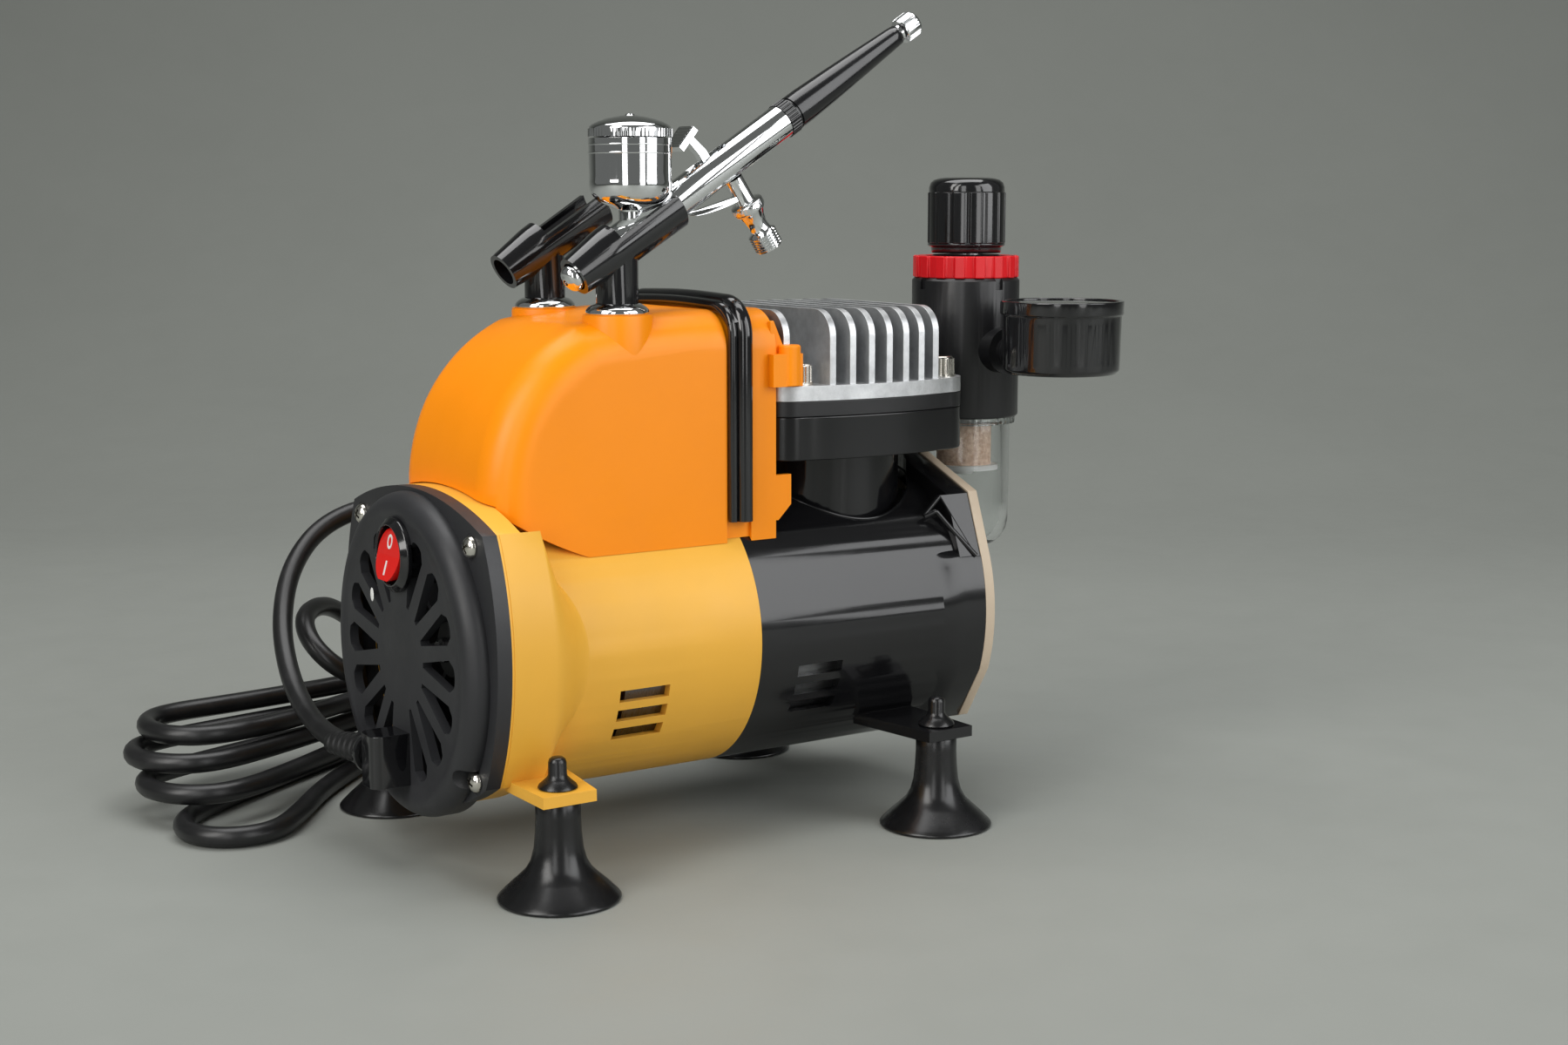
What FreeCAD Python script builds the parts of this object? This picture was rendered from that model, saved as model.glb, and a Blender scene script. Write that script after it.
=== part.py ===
import FreeCAD, Part
import math
import os
import Sketcher
from FreeCAD import Placement, Rotation, Vector

# Airbrush compressor: a shaded-pole motor in a round shell lies along X and drives a single
# vertical cylinder; a filter regulator hangs behind the head, and two holders stand on the cover.
# Drawing frame: millimetres, X along the motor from the grille (-X) to the regulator (+X),
# Y = 0 on the centre plane, Z up from the floor, X = 0 midway between the feet. The last step
# moves every part so that the origin lies under the middle of the compressor's bounding box.

doc = FreeCAD.newDocument("airbrush_compressor")
sheet = doc.addObject("Spreadsheet::Sheet", "Sheet")

UP = Vector(0, 0, 1)
ALONG_X = Vector(1, 0, 0)
SIDES = (-1, 1)
nodes = []


class Size:
    """A length kept in the sheet, or a sum of such lengths: its number and its expression."""

    def __init__(self, number, text):
        self.number = float(number)
        self.text = text

    def __add__(self, other):
        other = size(other)
        return Size(self.number + other.number, "(%s + %s)" % (self.text, other.text))

    def __radd__(self, other):
        return size(other) + self

    def __sub__(self, other):
        other = size(other)
        return Size(self.number - other.number, "(%s - %s)" % (self.text, other.text))

    def __rsub__(self, other):
        return size(other) - self

    def __mul__(self, factor):
        factor = size(factor)
        return Size(self.number * factor.number, "(%s * %s)" % (self.text, factor.text))

    def __rmul__(self, factor):
        return size(factor) * self

    def __truediv__(self, other):
        other = size(other)
        return Size(self.number / other.number, "(%s / %s)" % (self.text, other.text))

    def __neg__(self):
        return Size(-self.number, "(0 - %s)" % self.text)


def size(value):
    if isinstance(value, Size):
        return value
    return Size(value, "(%.6f)" % value)


def dim(alias, number, note):
    """One row of the sheet: name, value, meaning."""
    row = dim.row = getattr(dim, "row", 0) + 1
    sheet.set("A%d" % row, alias)
    sheet.set("B%d" % row, "%g" % number)
    sheet.set("C%d" % row, note)
    sheet.setAlias("B%d" % row, alias)
    return Size(number, "Sheet.%s" % alias)


# ---------------------------------------------------------------- driving dimensions
frame_shift = dim("frame_shift", -21.95, "drawing frame to the object's own frame, along X")
axis_height = dim("axis_height", 67, "motor axis above the floor")
shell_radius = dim("shell_radius", 48, "outside of both motor shells")
shell_wall = dim("shell_wall", 3, "wall of both motor shells")
gap = dim("gap", 0.3, "clearance between a moving part and what it passes")
grille_face = dim("grille_face", -95, "flat face of the grille")
flange_face = dim("flange_face", -88.8, "front of the grille's flange")
flange_joint = dim("flange_joint", -84, "joint of the grille and the front shell")
flange_back = dim("flange_back", -76, "back of the front shell's flange")
dome_radius = dim("dome_radius", 52, "foot of the grille's dome")
shell_joint = dim("shell_joint", 10.7, "joint of the front and rear shells")
plate_joint = dim("plate_joint", 103, "joint of the rear shell and the end plate")
shell_end = dim("shell_end", 106.8, "outside of the end plate")
screw_side = dim("screw_side", 41.2, "grille screws, either side of the centre plane")
screw_low = dim("screw_low", -32.5, "lower grille screws, from the motor axis")
screw_high = dim("screw_high", 39.9, "upper grille screws, from the motor axis")
switch_rise = dim("switch_rise", 32.5, "switch axis above the motor axis")
switch_bore = dim("switch_bore", 9.2, "bore of the switch bezel")
gland_drop = dim("gland_drop", -32.5, "cord gland from the motor axis")
foot_x = dim("foot_x", 71.8, "suction feet, fore and aft of the middle")
foot_y = dim("foot_y", 61.7, "suction feet, either side of the centre plane")
foot_radius = dim("foot_radius", 19, "rim of a suction foot")
bracket_low = dim("bracket_low", 31, "underside of the foot brackets")
bracket_thick = dim("bracket_thick", 3.6, "thickness of the foot brackets")
cover_half = dim("cover_half", 36, "half width of the top cover")
cover_top = dim("cover_top", 174.5, "top of the cover")
cover_rear = dim("cover_rear", 24, "rear edge of the cover")
cover_wall = dim("cover_wall", 2.5, "wall of the cover")
channel_front = dim("channel_front", 5, "front of the handle's channel")
channel_rear = dim("channel_rear", 14.3, "rear of the handle's channel")
handle_half = dim("handle_half", 40, "half width of the carry handle")
handle_top = dim("handle_top", 179, "shoulder of the carry handle")
post_x = dim("post_x", -28.7, "holder posts, along X")
post_y = dim("post_y", 24.7, "holder posts, either side of the centre plane")
boss_top = dim("boss_top", 174, "top of the cover's bosses")
washer_top = dim("washer_top", 177.5, "top of the domed washers")
holder_tilt = dim("holder_tilt", 32.36, "tilt of the holders, degrees")
holder_front_x = dim("holder_front_x", -46.1, "start of the holders' axis, along X")
holder_front_z = dim("holder_front_z", 184.7, "start of the holders' axis, height")
holder_bore = dim("holder_bore", 6.15, "bore of a holder")
airbrush_radius = dim("airbrush_radius", 5.75, "barrel of the airbrush")
head_x = dim("head_x", 64, "cylinder axis, along X")
head_half_x = dim("head_half_x", 41, "half length of the head plate")
head_half_y = dim("head_half_y", 38, "half width of the head plate, less its bulge")
cylinder_low = dim("cylinder_low", 93, "foot of the cylinder barrel")
flange_low = dim("flange_low", 124.3, "underside of the cylinder flange")
plate_low = dim("plate_low", 138.8, "underside of the valve plate")
head_low = dim("head_low", 144, "underside of the cylinder head")
head_high = dim("head_high", 149, "top of the head's base plate")
fin_top = dim("fin_top", 173.8, "top of the cooling fins")
fin_thick = dim("fin_thick", 2.5, "thickness of a cooling fin")
fin_pitch = dim("fin_pitch", 7.3, "pitch of the cooling fins")
bolt_front_x = dim("bolt_front_x", 37, "front head bolts")
bolt_rear_x = dim("bolt_rear_x", 97, "rear head bolts")
bolt_y = dim("bolt_y", 30, "head bolts, either side of the centre plane")
bore_radius = dim("bore_radius", 22, "bore of the cylinder")
crank_throw = dim("crank_throw", 8, "throw of the crank: half the piston's stroke")
shaft_radius = dim("shaft_radius", 4, "motor shaft")
rotor_radius = dim("rotor_radius", 22, "rotor")
regulator_x = dim("regulator_x", 130.8, "axis of the regulator")
regulator_low = dim("regulator_low", 131.2, "underside of the regulator body")
regulator_top = dim("regulator_top", 181.6, "top of the regulator body")
regulator_radius = dim("regulator_radius", 19.6, "regulator body")
knob_low = dim("knob_low", 190.4, "underside of the regulator knob")
knob_top = dim("knob_top", 217.7, "top of the regulator knob")
knob_radius = dim("knob_radius", 14.2, "regulator knob")
bowl_low = dim("bowl_low", 83, "foot of the filter bowl")
bowl_radius = dim("bowl_radius", 16.8, "filter bowl")
port_height = dim("port_height", 160, "ports of the regulator")
gauge_y = dim("gauge_y", -53.7, "axis of the gauge")
gauge_radius = dim("gauge_radius", 20.8, "case of the gauge")
gauge_low = dim("gauge_low", 150, "underside of the gauge")
gauge_top = dim("gauge_top", 175.2, "rim of the gauge")
cord_radius = dim("cord_radius", 3.5, "mains cord")
doc.recompute()


# ---------------------------------------------------------------- drawing helpers
def bind(thing, path, value):
    """Set a property from the sheet."""
    thing.setExpression(path, size(value).text)


def place(thing, at, along=UP, turn=0.0):
    """Stand a part's own Z axis along a direction, with its base point bound to the sheet."""
    rotation = Rotation(UP, Vector(*along)).multiply(Rotation(UP, turn))
    x, y, z = (size(value) for value in at)
    thing.Placement = Placement(Vector(x.number, y.number, z.number), rotation)
    for axis, value in zip("xyz", (x, y, z)):
        bind(thing, "Placement.Base.%s" % axis, value)


def tilt(thing, at, degrees):
    """Turn a part about Y, nose up for a positive angle, and set its base point."""
    place(thing, at)
    thing.Placement = Placement(thing.Placement.Base, Rotation(Vector(0, 1, 0), -degrees))


def new_body(label, at=(0, 0, 0), along=UP, turn=0.0, node=True):
    body = doc.addObject("PartDesign::Body", label)
    body.Label = label
    body.AllowCompound = True
    place(body, at, along, turn)
    if node:
        nodes.append(body)
    return body


def plane(body, role):
    return next(item for item in body.Origin.OriginFeatures if item.Role == role)


def sketch_on(body, role, start=0.0, turn=0.0):
    """An empty sketch on one of the body's own planes, moved along the plane's normal."""
    sketch = body.newObject("Sketcher::SketchObject", body.Label + "_sketch")
    sketch.AttachmentSupport = [(plane(body, role), "")]
    sketch.MapMode = "FlatFace"
    sketch.AttachmentOffset = Placement(Vector(0, 0, size(start).number), Rotation(UP, turn))
    bind(sketch, "AttachmentOffset.Base.z", start)
    return sketch


def constrain(sketch, kind, value, *where):
    index = sketch.addConstraint(Sketcher.Constraint(kind, *where, size(value).number))
    bind(sketch, "Constraints[%d]" % index, value)


def bulged_edge(start, end, rise):
    """A straight edge, or an arc that rises to the left of the way from start to end."""
    if not rise:
        return Part.LineSegment(start, end)
    chord = end - start
    left = Vector(-chord.y, chord.x, 0).normalize()
    return Part.Arc(start, (start + end) * 0.5 + left * rise, end)


def draw(sketch, points):
    """A closed outline through corners (u, v) or (u, v, rise of the arc to the next corner)."""
    corners = [Vector(size(point[0]).number, size(point[1]).number, 0) for point in points]
    count = len(points)
    first = sketch.GeometryCount
    for index, point in enumerate(points):
        rise = size(point[2]).number if len(point) > 2 else 0.0
        sketch.addGeometry(bulged_edge(corners[index], corners[(index + 1) % count], rise))
    for index, point in enumerate(points):
        this, following = first + index, first + (index + 1) % count
        rise = size(point[2]).number if len(point) > 2 else 0.0
        chord = (corners[(index + 1) % count] - corners[index]).Length
        from_start = 1 if tail_is_start(sketch, this, corners[index]) else 2
        next_start = 1 if tail_is_start(sketch, following, corners[(index + 1) % count]) else 2
        sketch.addConstraint(Sketcher.Constraint("Coincident", this, 3 - from_start, following, next_start))
        constrain(sketch, "DistanceX", point[0], -1, 1, this, from_start)
        constrain(sketch, "DistanceY", point[1], -1, 1, this, from_start)
        if rise:
            rise = abs(rise)
            constrain(sketch, "Radius", (chord * chord / 4 + rise * rise) / (2 * rise), this)
    return sketch


def tail_is_start(sketch, index, corner):
    return (sketch.getPoint(index, 1) - corner).Length < 1e-6


def circle(sketch, u, v, radius):
    centre = Vector(size(u).number, size(v).number, 0)
    index = sketch.addGeometry(Part.Circle(centre, UP, size(radius).number))
    constrain(sketch, "DistanceX", u, -1, 1, index, 3)
    constrain(sketch, "DistanceY", v, -1, 1, index, 3)
    constrain(sketch, "Radius", radius, index)


def solid_step(body, kind, sketch, length=None, axis=None):
    """A pad, pocket, revolution or groove from a sketch; cuts must take material away."""
    before = body.Shape.Volume if body.Tip else 0.0
    feature = body.newObject("PartDesign::" + kind, body.Label + "_" + kind.lower())
    feature.Profile = sketch
    if axis:
        feature.ReferenceAxis = (sketch, [axis])
        feature.Angle = 360.0
    else:
        feature.Type = 0
        bind(feature, "Length", length)
        feature.Reversed = kind == "Pocket"
    doc.recompute()
    after = body.Shape.Volume
    if kind in ("Pocket", "Groove") and after >= before - 1e-6:
        raise ValueError("%s: a cut took nothing away" % body.Label)
    return feature


def pad(body, role, points, start, length, turn=0.0):
    return solid_step(body, "Pad", draw(sketch_on(body, role, start, turn), points), length)


def pocket(body, role, points, start, length, turn=0.0):
    return solid_step(body, "Pocket", draw(sketch_on(body, role, start, turn), points), length)


def drill(body, role, centres, radius, start, length):
    sketch = sketch_on(body, role, start)
    for u, v in centres:
        circle(sketch, u, v, radius)
    return solid_step(body, "Pocket", sketch, length)


def post(body, role, centres, radius, start, length):
    sketch = sketch_on(body, role, start)
    for u, v in centres:
        circle(sketch, u, v, radius)
    return solid_step(body, "Pad", sketch, length)


def revolve(body, points, kind="Revolution"):
    """Turn an outline of (radius, height) about the body's own Z axis."""
    return solid_step(body, kind, draw(sketch_on(body, "XZ_Plane"), points), axis="V_Axis")


def turned(label, points, at=(0, 0, 0), along=UP, node=True):
    """A part turned from one outline of (radius, height)."""
    body = new_body(label, at, along, node=node)
    revolve(body, points)
    return body


def round_edges(body, radius, wanted):
    """Fillet the edges whose middle point passes a test."""
    base = body.Tip
    names = []
    for index, edge in enumerate(base.Shape.Edges):
        if wanted(edge.CenterOfMass, edge):
            names.append("Edge%d" % (index + 1))
    fillet = body.newObject("PartDesign::Fillet", body.Label + "_fillet")
    fillet.Base = (base, names)
    bind(fillet, "Radius", radius)
    doc.recompute()
    return fillet


def polar(body, feature, axis_role, angle, count):
    """Repeat a feature about one of the body's own axes."""
    pattern = body.newObject("PartDesign::PolarPattern", body.Label + "_pattern")
    pattern.Originals = [feature]
    pattern.Axis = (plane(body, axis_role), [""])
    pattern.Angle = angle
    pattern.Occurrences = count
    body.Tip = pattern
    doc.recompute()
    return pattern


def group(label, parts):
    """Separate solids that share one node."""
    together = doc.addObject("Part::Compound", label)
    together.Label = label
    together.Links = parts
    nodes.append(together)
    return together


def fuse(label, parts, node=True):
    together = doc.addObject("Part::MultiFuse", label)
    together.Label = label
    together.Shapes = parts
    if node:
        nodes.append(together)
    return together


def cut(label, base, tool, node=True):
    result = doc.addObject("Part::Cut", label)
    result.Label = label
    result.Base = base
    result.Tool = tool
    if node:
        nodes.append(result)
    return result


def cylinder(label, radius, height, at, along=UP):
    solid = doc.addObject("Part::Cylinder", label)
    bind(solid, "Radius", radius)
    bind(solid, "Height", height)
    place(solid, at, along)
    return solid


def ring(inner, outer, low, high):
    """The outline of a plain ring: (radius, height) corners."""
    return [(inner, low), (outer, low), (outer, high), (inner, high)]


def rectangle(left, bottom, right, top):
    return [(left, bottom), (right, bottom), (right, top), (left, top)]


# ---------------------------------------------------------------- grille, switch and cord gland
def flange_outline(gap=0.0):
    """The end flange about the motor axis, or a gap round it: four arcs between four corners."""
    high, wide = 44 + gap, 48.5 + gap
    low, narrow = -34 - gap, 47.5 + gap
    return [(wide, high, -9.2), (-wide, high, -9.4), (-narrow, low, -13.2), (narrow, low, -9.4)]


def grille_cover():
    body = new_body("grille_cover", (0, 0, axis_height))
    pad(body, "YZ_Plane", flange_outline(), flange_face, flange_joint - flange_face)
    dome = draw(sketch_on(body, "XZ_Plane"), [
        (flange_joint, 0), (flange_joint, dome_radius), (flange_face, dome_radius, -3),
        (grille_face, dome_radius - 8), (grille_face, 0)])
    solid_step(body, "Revolution", dome, axis="H_Axis")
    cavity = draw(sketch_on(body, "XZ_Plane"), [
        (flange_joint, 0), (flange_joint, dome_radius - 6.5), (flange_face, dome_radius - 7),
        (grille_face + 3, dome_radius - 10), (grille_face + 3, 0)])
    solid_step(body, "Groove", cavity, axis="H_Axis")
    drill(body, "YZ_Plane", [(0, switch_rise)], 10.2, grille_face - 1, 8)
    drill(body, "YZ_Plane", [(0, gland_drop)], 5, grille_face - 1, 8)
    corners = [(side * screw_side, rise) for side in SIDES for rise in (screw_low, screw_high)]
    drill(body, "YZ_Plane", corners, 4.2, flange_face - 8, 8.1)
    drill(body, "YZ_Plane", corners, 1.8, flange_face - 4, 12)
    # The outer end of a slot is wide and round, the inner end almost a point.
    slot = [(-0.8, 17.5), (0.8, 17.5), (5, 36.6), (3.2, 39.8, -0.8), (-3.2, 39.8), (-5, 36.6)]
    for start in (22.5, 202.5):
        first = pocket(body, "YZ_Plane", slot, grille_face - 1, 6, turn=start)
        polar(body, first, "X_Axis", 135, 7)
    return body


def grille_screws():
    screws = []
    for side in SIDES:
        for rise in (screw_low, screw_high):
            outline = [(0, -2.6), (2, -2.4), (3.5, -0.8), (3.5, 0), (1.8, 0), (1.8, 15), (0, 15)]
            at = (flange_face, side * screw_side, axis_height + rise)
            screws.append(turned("grille_screw", outline, at, ALONG_X, node=False))
    group("grille_screws", screws)


def switch():
    """A round rocker in a bezel; the barrel behind it reaches into the grille."""
    centre = (grille_face, 0, axis_height + switch_rise)
    bezel = turned("switch_bezel", [
        (switch_bore, -3), (switch_bore + 0.6, -3.4), (12, -1.6), (12, 0), (10.2, 0),
        (10.2, 18), (0, 18), (0, 15), (switch_bore, 15)], centre, ALONG_X)
    rocker = new_body("rocker_switch", centre)
    reach = switch_bore - 0.8
    profile = [(2, -6.5), (2, 6.5), (-1.5, 8.4), (-3, 0), (-5.2, -7.7)]
    pad(rocker, "XZ_Plane", profile, -reach, 2 * reach)
    # Everything outside the round plan is taken off, so that it turns inside the round bore.
    trim = sketch_on(rocker, "YZ_Plane", -10)
    circle(trim, 0, 0, reach)
    circle(trim, 0, 0, 16)
    solid_step(rocker, "Pocket", trim, 16)
    return bezel, rocker


def cord_gland():
    """A right-angle strain relief: a round foot in the grille and a block that turns the cord."""
    body = new_body("cord_gland", (grille_face, 0, axis_height + gland_drop))
    post(body, "YZ_Plane", [(0, 0)], 5, -1, 6)
    pad(body, "XY_Plane", rectangle(-12.5, -6, 0, 6), -8.5, 17)
    round_edges(body, 3.5, lambda mid, edge: mid.x < -12 and abs(mid.z) < 1)
    post(body, "XZ_Plane", [(-8, 1)], 5.2, -9, 4)
    return body


# ---------------------------------------------------------------- motor shells and feet
def shell_tube(body, start, end):
    sketch = sketch_on(body, "YZ_Plane", start)
    circle(sketch, 0, 0, shell_radius)
    circle(sketch, 0, 0, shell_radius - shell_wall)
    solid_step(body, "Pad", sketch, end - start)


def foot_brackets(body, along_x, inward):
    """Two webs from the shell out to the feet, each with a hole for a foot's stem."""
    low = bracket_low - axis_height
    for side in SIDES:
        inner, outer = side * 33, side * (foot_y + 8)
        web = [(along_x - 9 * inward, inner), (along_x - 9 * inward, outer),
               (along_x + 9 * inward, outer), (along_x + 14 * inward, inner)]
        pad(body, "XY_Plane", web, low, bracket_thick)
    drill(body, "XY_Plane", [(along_x, side * foot_y) for side in SIDES], 3.8, low - 1, 8)


def side_vents(body, left, right):
    """Three slots low on each side of a shell."""
    for step in range(3):
        low = -26.5 + 6.6 * step
        for start in (32, -50):
            pocket(body, "XZ_Plane", rectangle(left, low, right, low + 3.9), start, 18)


def front_shell():
    body = new_body("front_shell", (0, 0, axis_height))
    shell_tube(body, flange_joint, shell_joint)
    rim = sketch_on(body, "YZ_Plane", flange_joint)
    draw(rim, flange_outline())
    circle(rim, 0, 0, shell_radius - shell_wall)
    solid_step(body, "Pad", rim, flange_back - flange_joint)
    # Cheeks carry the flange's corners back along the shell.
    for side in SIDES:
        cheek = [(side * 34, 36), (side * 47, 42.5, side * 10.5), (side * 46, -33),
                 (side * 35, -33), (side * 45.5, 0)]
        pad(body, "YZ_Plane", cheek, flange_back - 2, 8.5)
    foot_brackets(body, -foot_x, 1)
    corners = [(side * screw_side, rise) for side in SIDES for rise in (screw_low, screw_high)]
    drill(body, "YZ_Plane", corners, 1.8, flange_joint - 1, 13)
    side_vents(body, -41.5, -23.5)
    return body


def rear_outline(inset=0.0):
    """The rear end about the motor axis: a flat top, two sloping shoulders and round sides."""
    side = 45.5 - inset
    return [(-9, 53 - inset), (-37.5 + inset, 41.5 - inset), (-side, 20, -3.2), (-side, -20),
            (-34 + inset, -38.5 + inset), (-9, -46 + inset), (9, -46 + inset),
            (34 - inset, -38.5 + inset), (side, -20, -3.2), (side, 20),
            (37.5 - inset, 41.5 - inset), (9, 53 - inset)]


def rear_shell():
    body = new_body("rear_shell", (0, 0, axis_height))
    shell_tube(body, shell_joint, plate_joint)
    # The end rim swells out of the tube to the outline of the end plate.
    rim = sketch_on(body, "YZ_Plane", plate_joint - 9)
    draw(rim, rear_outline())
    circle(rim, 0, 0, 44)
    solid_step(body, "Pad", rim, 9)
    # A round gap in the top lets the cylinder stand on the crankcase.
    drill(body, "XY_Plane", [(head_x, 0)], 33, 10, 44)
    foot_brackets(body, foot_x, -1)
    side_vents(body, 25.8, 43.5)
    return body


def rear_end_plate():
    body = new_body("rear_end_plate", (0, 0, axis_height))
    pad(body, "YZ_Plane", rear_outline(-0.4), plate_joint, shell_end - plate_joint)
    corners = [(side * 33, rise) for side in SIDES for rise in (-33, 33)]
    drill(body, "YZ_Plane", corners, 1.8, plate_joint - 1, 8)
    return body


def end_plate_screws():
    screws = []
    for side in SIDES:
        for rise in (-33, 33):
            outline = [(0, -9), (1.8, -9), (1.8, 0), (3.2, 0), (3.2, 0.8), (1.8, 2), (0, 2.2)]
            at = (shell_end, side * 33, axis_height + rise)
            screws.append(turned("end_plate_screw", outline, at, ALONG_X, node=False))
    group("end_plate_screws", screws)


def suction_feet():
    """Four rubber suction cups, each with a grooved stem that snaps through its bracket."""
    neck = 3.8
    top = bracket_low + bracket_thick
    outline = [
        (0, 6), (7, 5), (13, 2.4), (foot_radius - 2.6, 0), (foot_radius - 0.6, 0), (foot_radius, 0.8),
        (foot_radius - 3, 4.2), (10, 9), (7.5, 14), (7, bracket_low), (neck, bracket_low), (neck, top),
        (6.2, top),
        (5.8, top + 1.2), (3, top + 5), (2.7, top + 8), (1.4, top + 9.6), (0, top + 9.8)]
    feet = []
    for end in SIDES:
        for side in SIDES:
            feet.append(turned("suction_foot", outline, (end * foot_x, side * foot_y, 0), node=False))
    group("suction_feet", feet)


# ---------------------------------------------------------------- motor and crank drive
def motor():
    axis = (0, 0, axis_height)
    inside = shell_radius - shell_wall
    turned("motor_stator", ring(rotor_radius + 0.6, inside, -38, 2), axis, ALONG_X)
    coils = [turned("stator_coil", ring(rotor_radius + 3, 40, low, high), axis, ALONG_X, node=False)
             for low, high in ((-48, -38), (2, 9))]
    group("stator_coils", coils)
    turned("rotor", ring(shaft_radius, rotor_radius, -37, 1), axis, ALONG_X)
    turned("motor_shaft", [(0, -82), (shaft_radius - 1, -82), (shaft_radius, -81), (shaft_radius, 57),
                           (0, 57)], axis, ALONG_X)
    bearings = [turned("bearing", ring(shaft_radius + 0.05, 9.5, low, low + 7), axis, ALONG_X, node=False)
                for low in (-58, 13)]
    group("bearings", bearings)


def cooling_fan():
    """Nine flat blades stand out of a hub; the hub's own Z axis is the motor axis."""
    fan = turned("cooling_fan", ring(shaft_radius, 9, -78, -64), (0, 0, axis_height), ALONG_X)
    blade = pad(fan, "XY_Plane", rectangle(8, -0.9, 38, 0.9), -76, 10)
    polar(fan, blade, "Z_Axis", 360, 9)


def bearing_brackets():
    """A spider at the grille end; the crankcase wall carries the other bearing."""
    spider = turned("bearing_bracket", ring(9.5, 14, -58, -51), (0, 0, axis_height), ALONG_X)
    arm = pad(spider, "XY_Plane", rectangle(13, -4, shell_radius - shell_wall, 4), -57, 5)
    polar(spider, arm, "Z_Axis", 360, 4)


def crankcase():
    """A round case behind the motor, open at the back, with a round seat for the cylinder."""
    body = turned("crankcase", [
        (9.5, 13), (shell_radius - shell_wall, 13), (shell_radius - shell_wall, 20), (40, 20), (40, 98),
        (36, 98), (36, 20), (9.5, 20)], (0, 0, axis_height), ALONG_X)
    # The case's own X axis points down, so the cylinder's seat is cut on its -X side.
    sketch = sketch_on(body, "YZ_Plane", -42)
    circle(sketch, 0, head_x, 29.5)
    solid_step(body, "Pocket", sketch, 30)
    return body


def crank():
    """Crank web with a counterweight and a short pin."""
    body = turned("crank_web", [(shaft_radius, 46), (11, 46), (11, 57), (shaft_radius, 57)],
                  (0, 0, axis_height), ALONG_X)
    pad(body, "XY_Plane", [(-8, -7), (-22, -12), (-22, 12), (-8, 7)], 46, 8)
    post(body, "XY_Plane", [(crank_throw, 0)], 3, 57, 3)


def piston():
    """A wobble piston: head, rod and big-end eye in one piece, at the bottom of its stroke."""
    eye = axis_height - crank_throw
    body = new_body("piston", (head_x, 0, 0))
    top = plate_low - 2 * crank_throw - 1.5
    post(body, "XY_Plane", [(0, 0)], bore_radius - 0.06, top - 6, 6)
    pad(body, "XZ_Plane", rectangle(-3, eye + 7, 3, top - 5), -4.5, 9)
    sketch = sketch_on(body, "YZ_Plane", -3)
    circle(sketch, 0, eye, 9)
    circle(sketch, 0, eye, 3.2)
    solid_step(body, "Pad", sketch, 6)
    return body


# ---------------------------------------------------------------- cylinder and head
def head_outline():
    """Plan of the head: straight corners joined by four bulged sides, about the cylinder axis."""
    long_side, short_side, corner = head_half_x, head_half_y, 11
    return [
        (-long_side, short_side - corner, 3), (corner - long_side, short_side, 4),
        (long_side - corner, short_side, 3), (long_side, short_side - corner, 1.5),
        (long_side, corner - short_side, 3), (long_side - corner, -short_side, 4),
        (corner - long_side, -short_side, 3), (-long_side, corner - short_side, 1.5)]


def bolt_points():
    return [(x - head_x, side * bolt_y) for x in (bolt_front_x, bolt_rear_x) for side in SIDES]


def cylinder_parts():
    body = new_body("cylinder", (head_x, 0, 0))
    post(body, "XY_Plane", [(0, 0)], 29.5, cylinder_low, flange_low - cylinder_low + 2)
    pad(body, "XY_Plane", head_outline(), flange_low, plate_low - flange_low)
    drill(body, "XY_Plane", [(0, 0)], bore_radius, cylinder_low - 1, 50)
    drill(body, "XY_Plane", bolt_points(), 2.5, flange_low - 1, 20)
    plate = new_body("valve_plate", (head_x, 0, 0))
    pad(plate, "XY_Plane", head_outline(), plate_low, head_low - plate_low)
    drill(plate, "XY_Plane", bolt_points(), 2.5, plate_low - 1, 8)
    drill(plate, "XY_Plane", [(-9, 0), (9, 0)], 2.5, plate_low - 1, 8)


def fin_places():
    """Seven fins at an even pitch and one by itself in front of the bolts."""
    return [size(29.5)] + [45 + fin_pitch * step for step in range(7)]


def cylinder_head():
    body = new_body("cylinder_head", (head_x, 0, 0))
    pad(body, "XY_Plane", head_outline(), head_low, head_high - head_low)
    # The pocket over the reed valve.
    pocket(body, "XY_Plane", rectangle(-16, -10, 22, 10), head_low, 3)
    for x in fin_places():
        # A fin ends on the bulged side of the plate, so the outer ones are a little shorter.
        away = (x.number - head_x.number) / head_half_x.number
        half = head_half_y + 2.5 - 9 * away * away
        fin = [(-half, head_high - 1), (half, head_high - 1), (half, fin_top - 9, -2.6),
               (half - 9, fin_top), (9 - half, fin_top, -2.6), (-half, fin_top - 9)]
        pad(body, "YZ_Plane", fin, x - head_x - fin_thick / 2, fin_thick)
    pad(body, "XY_Plane", rectangle(-36, -7, 29, 7), head_high - 1, 9)
    drill(body, "XY_Plane", bolt_points(), 2.5, head_low - 1, 8)
    return body


def head_bolts():
    """Socket cap screws that clamp head, valve plate and cylinder flange."""
    bolts = []
    for x in (bolt_front_x, bolt_rear_x):
        for side in SIDES:
            outline = [(0, flange_low + 2), (2.5, flange_low + 2), (2.5, head_high), (4.4, head_high),
                       (4.4, head_high + 6.6), (3.9, head_high + 7), (2, head_high + 7),
                       (2, head_high + 4), (0, head_high + 4)]
            bolts.append(turned("head_bolt", outline, (x, side * bolt_y, 0), node=False))
    group("head_bolts", bolts)


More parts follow.
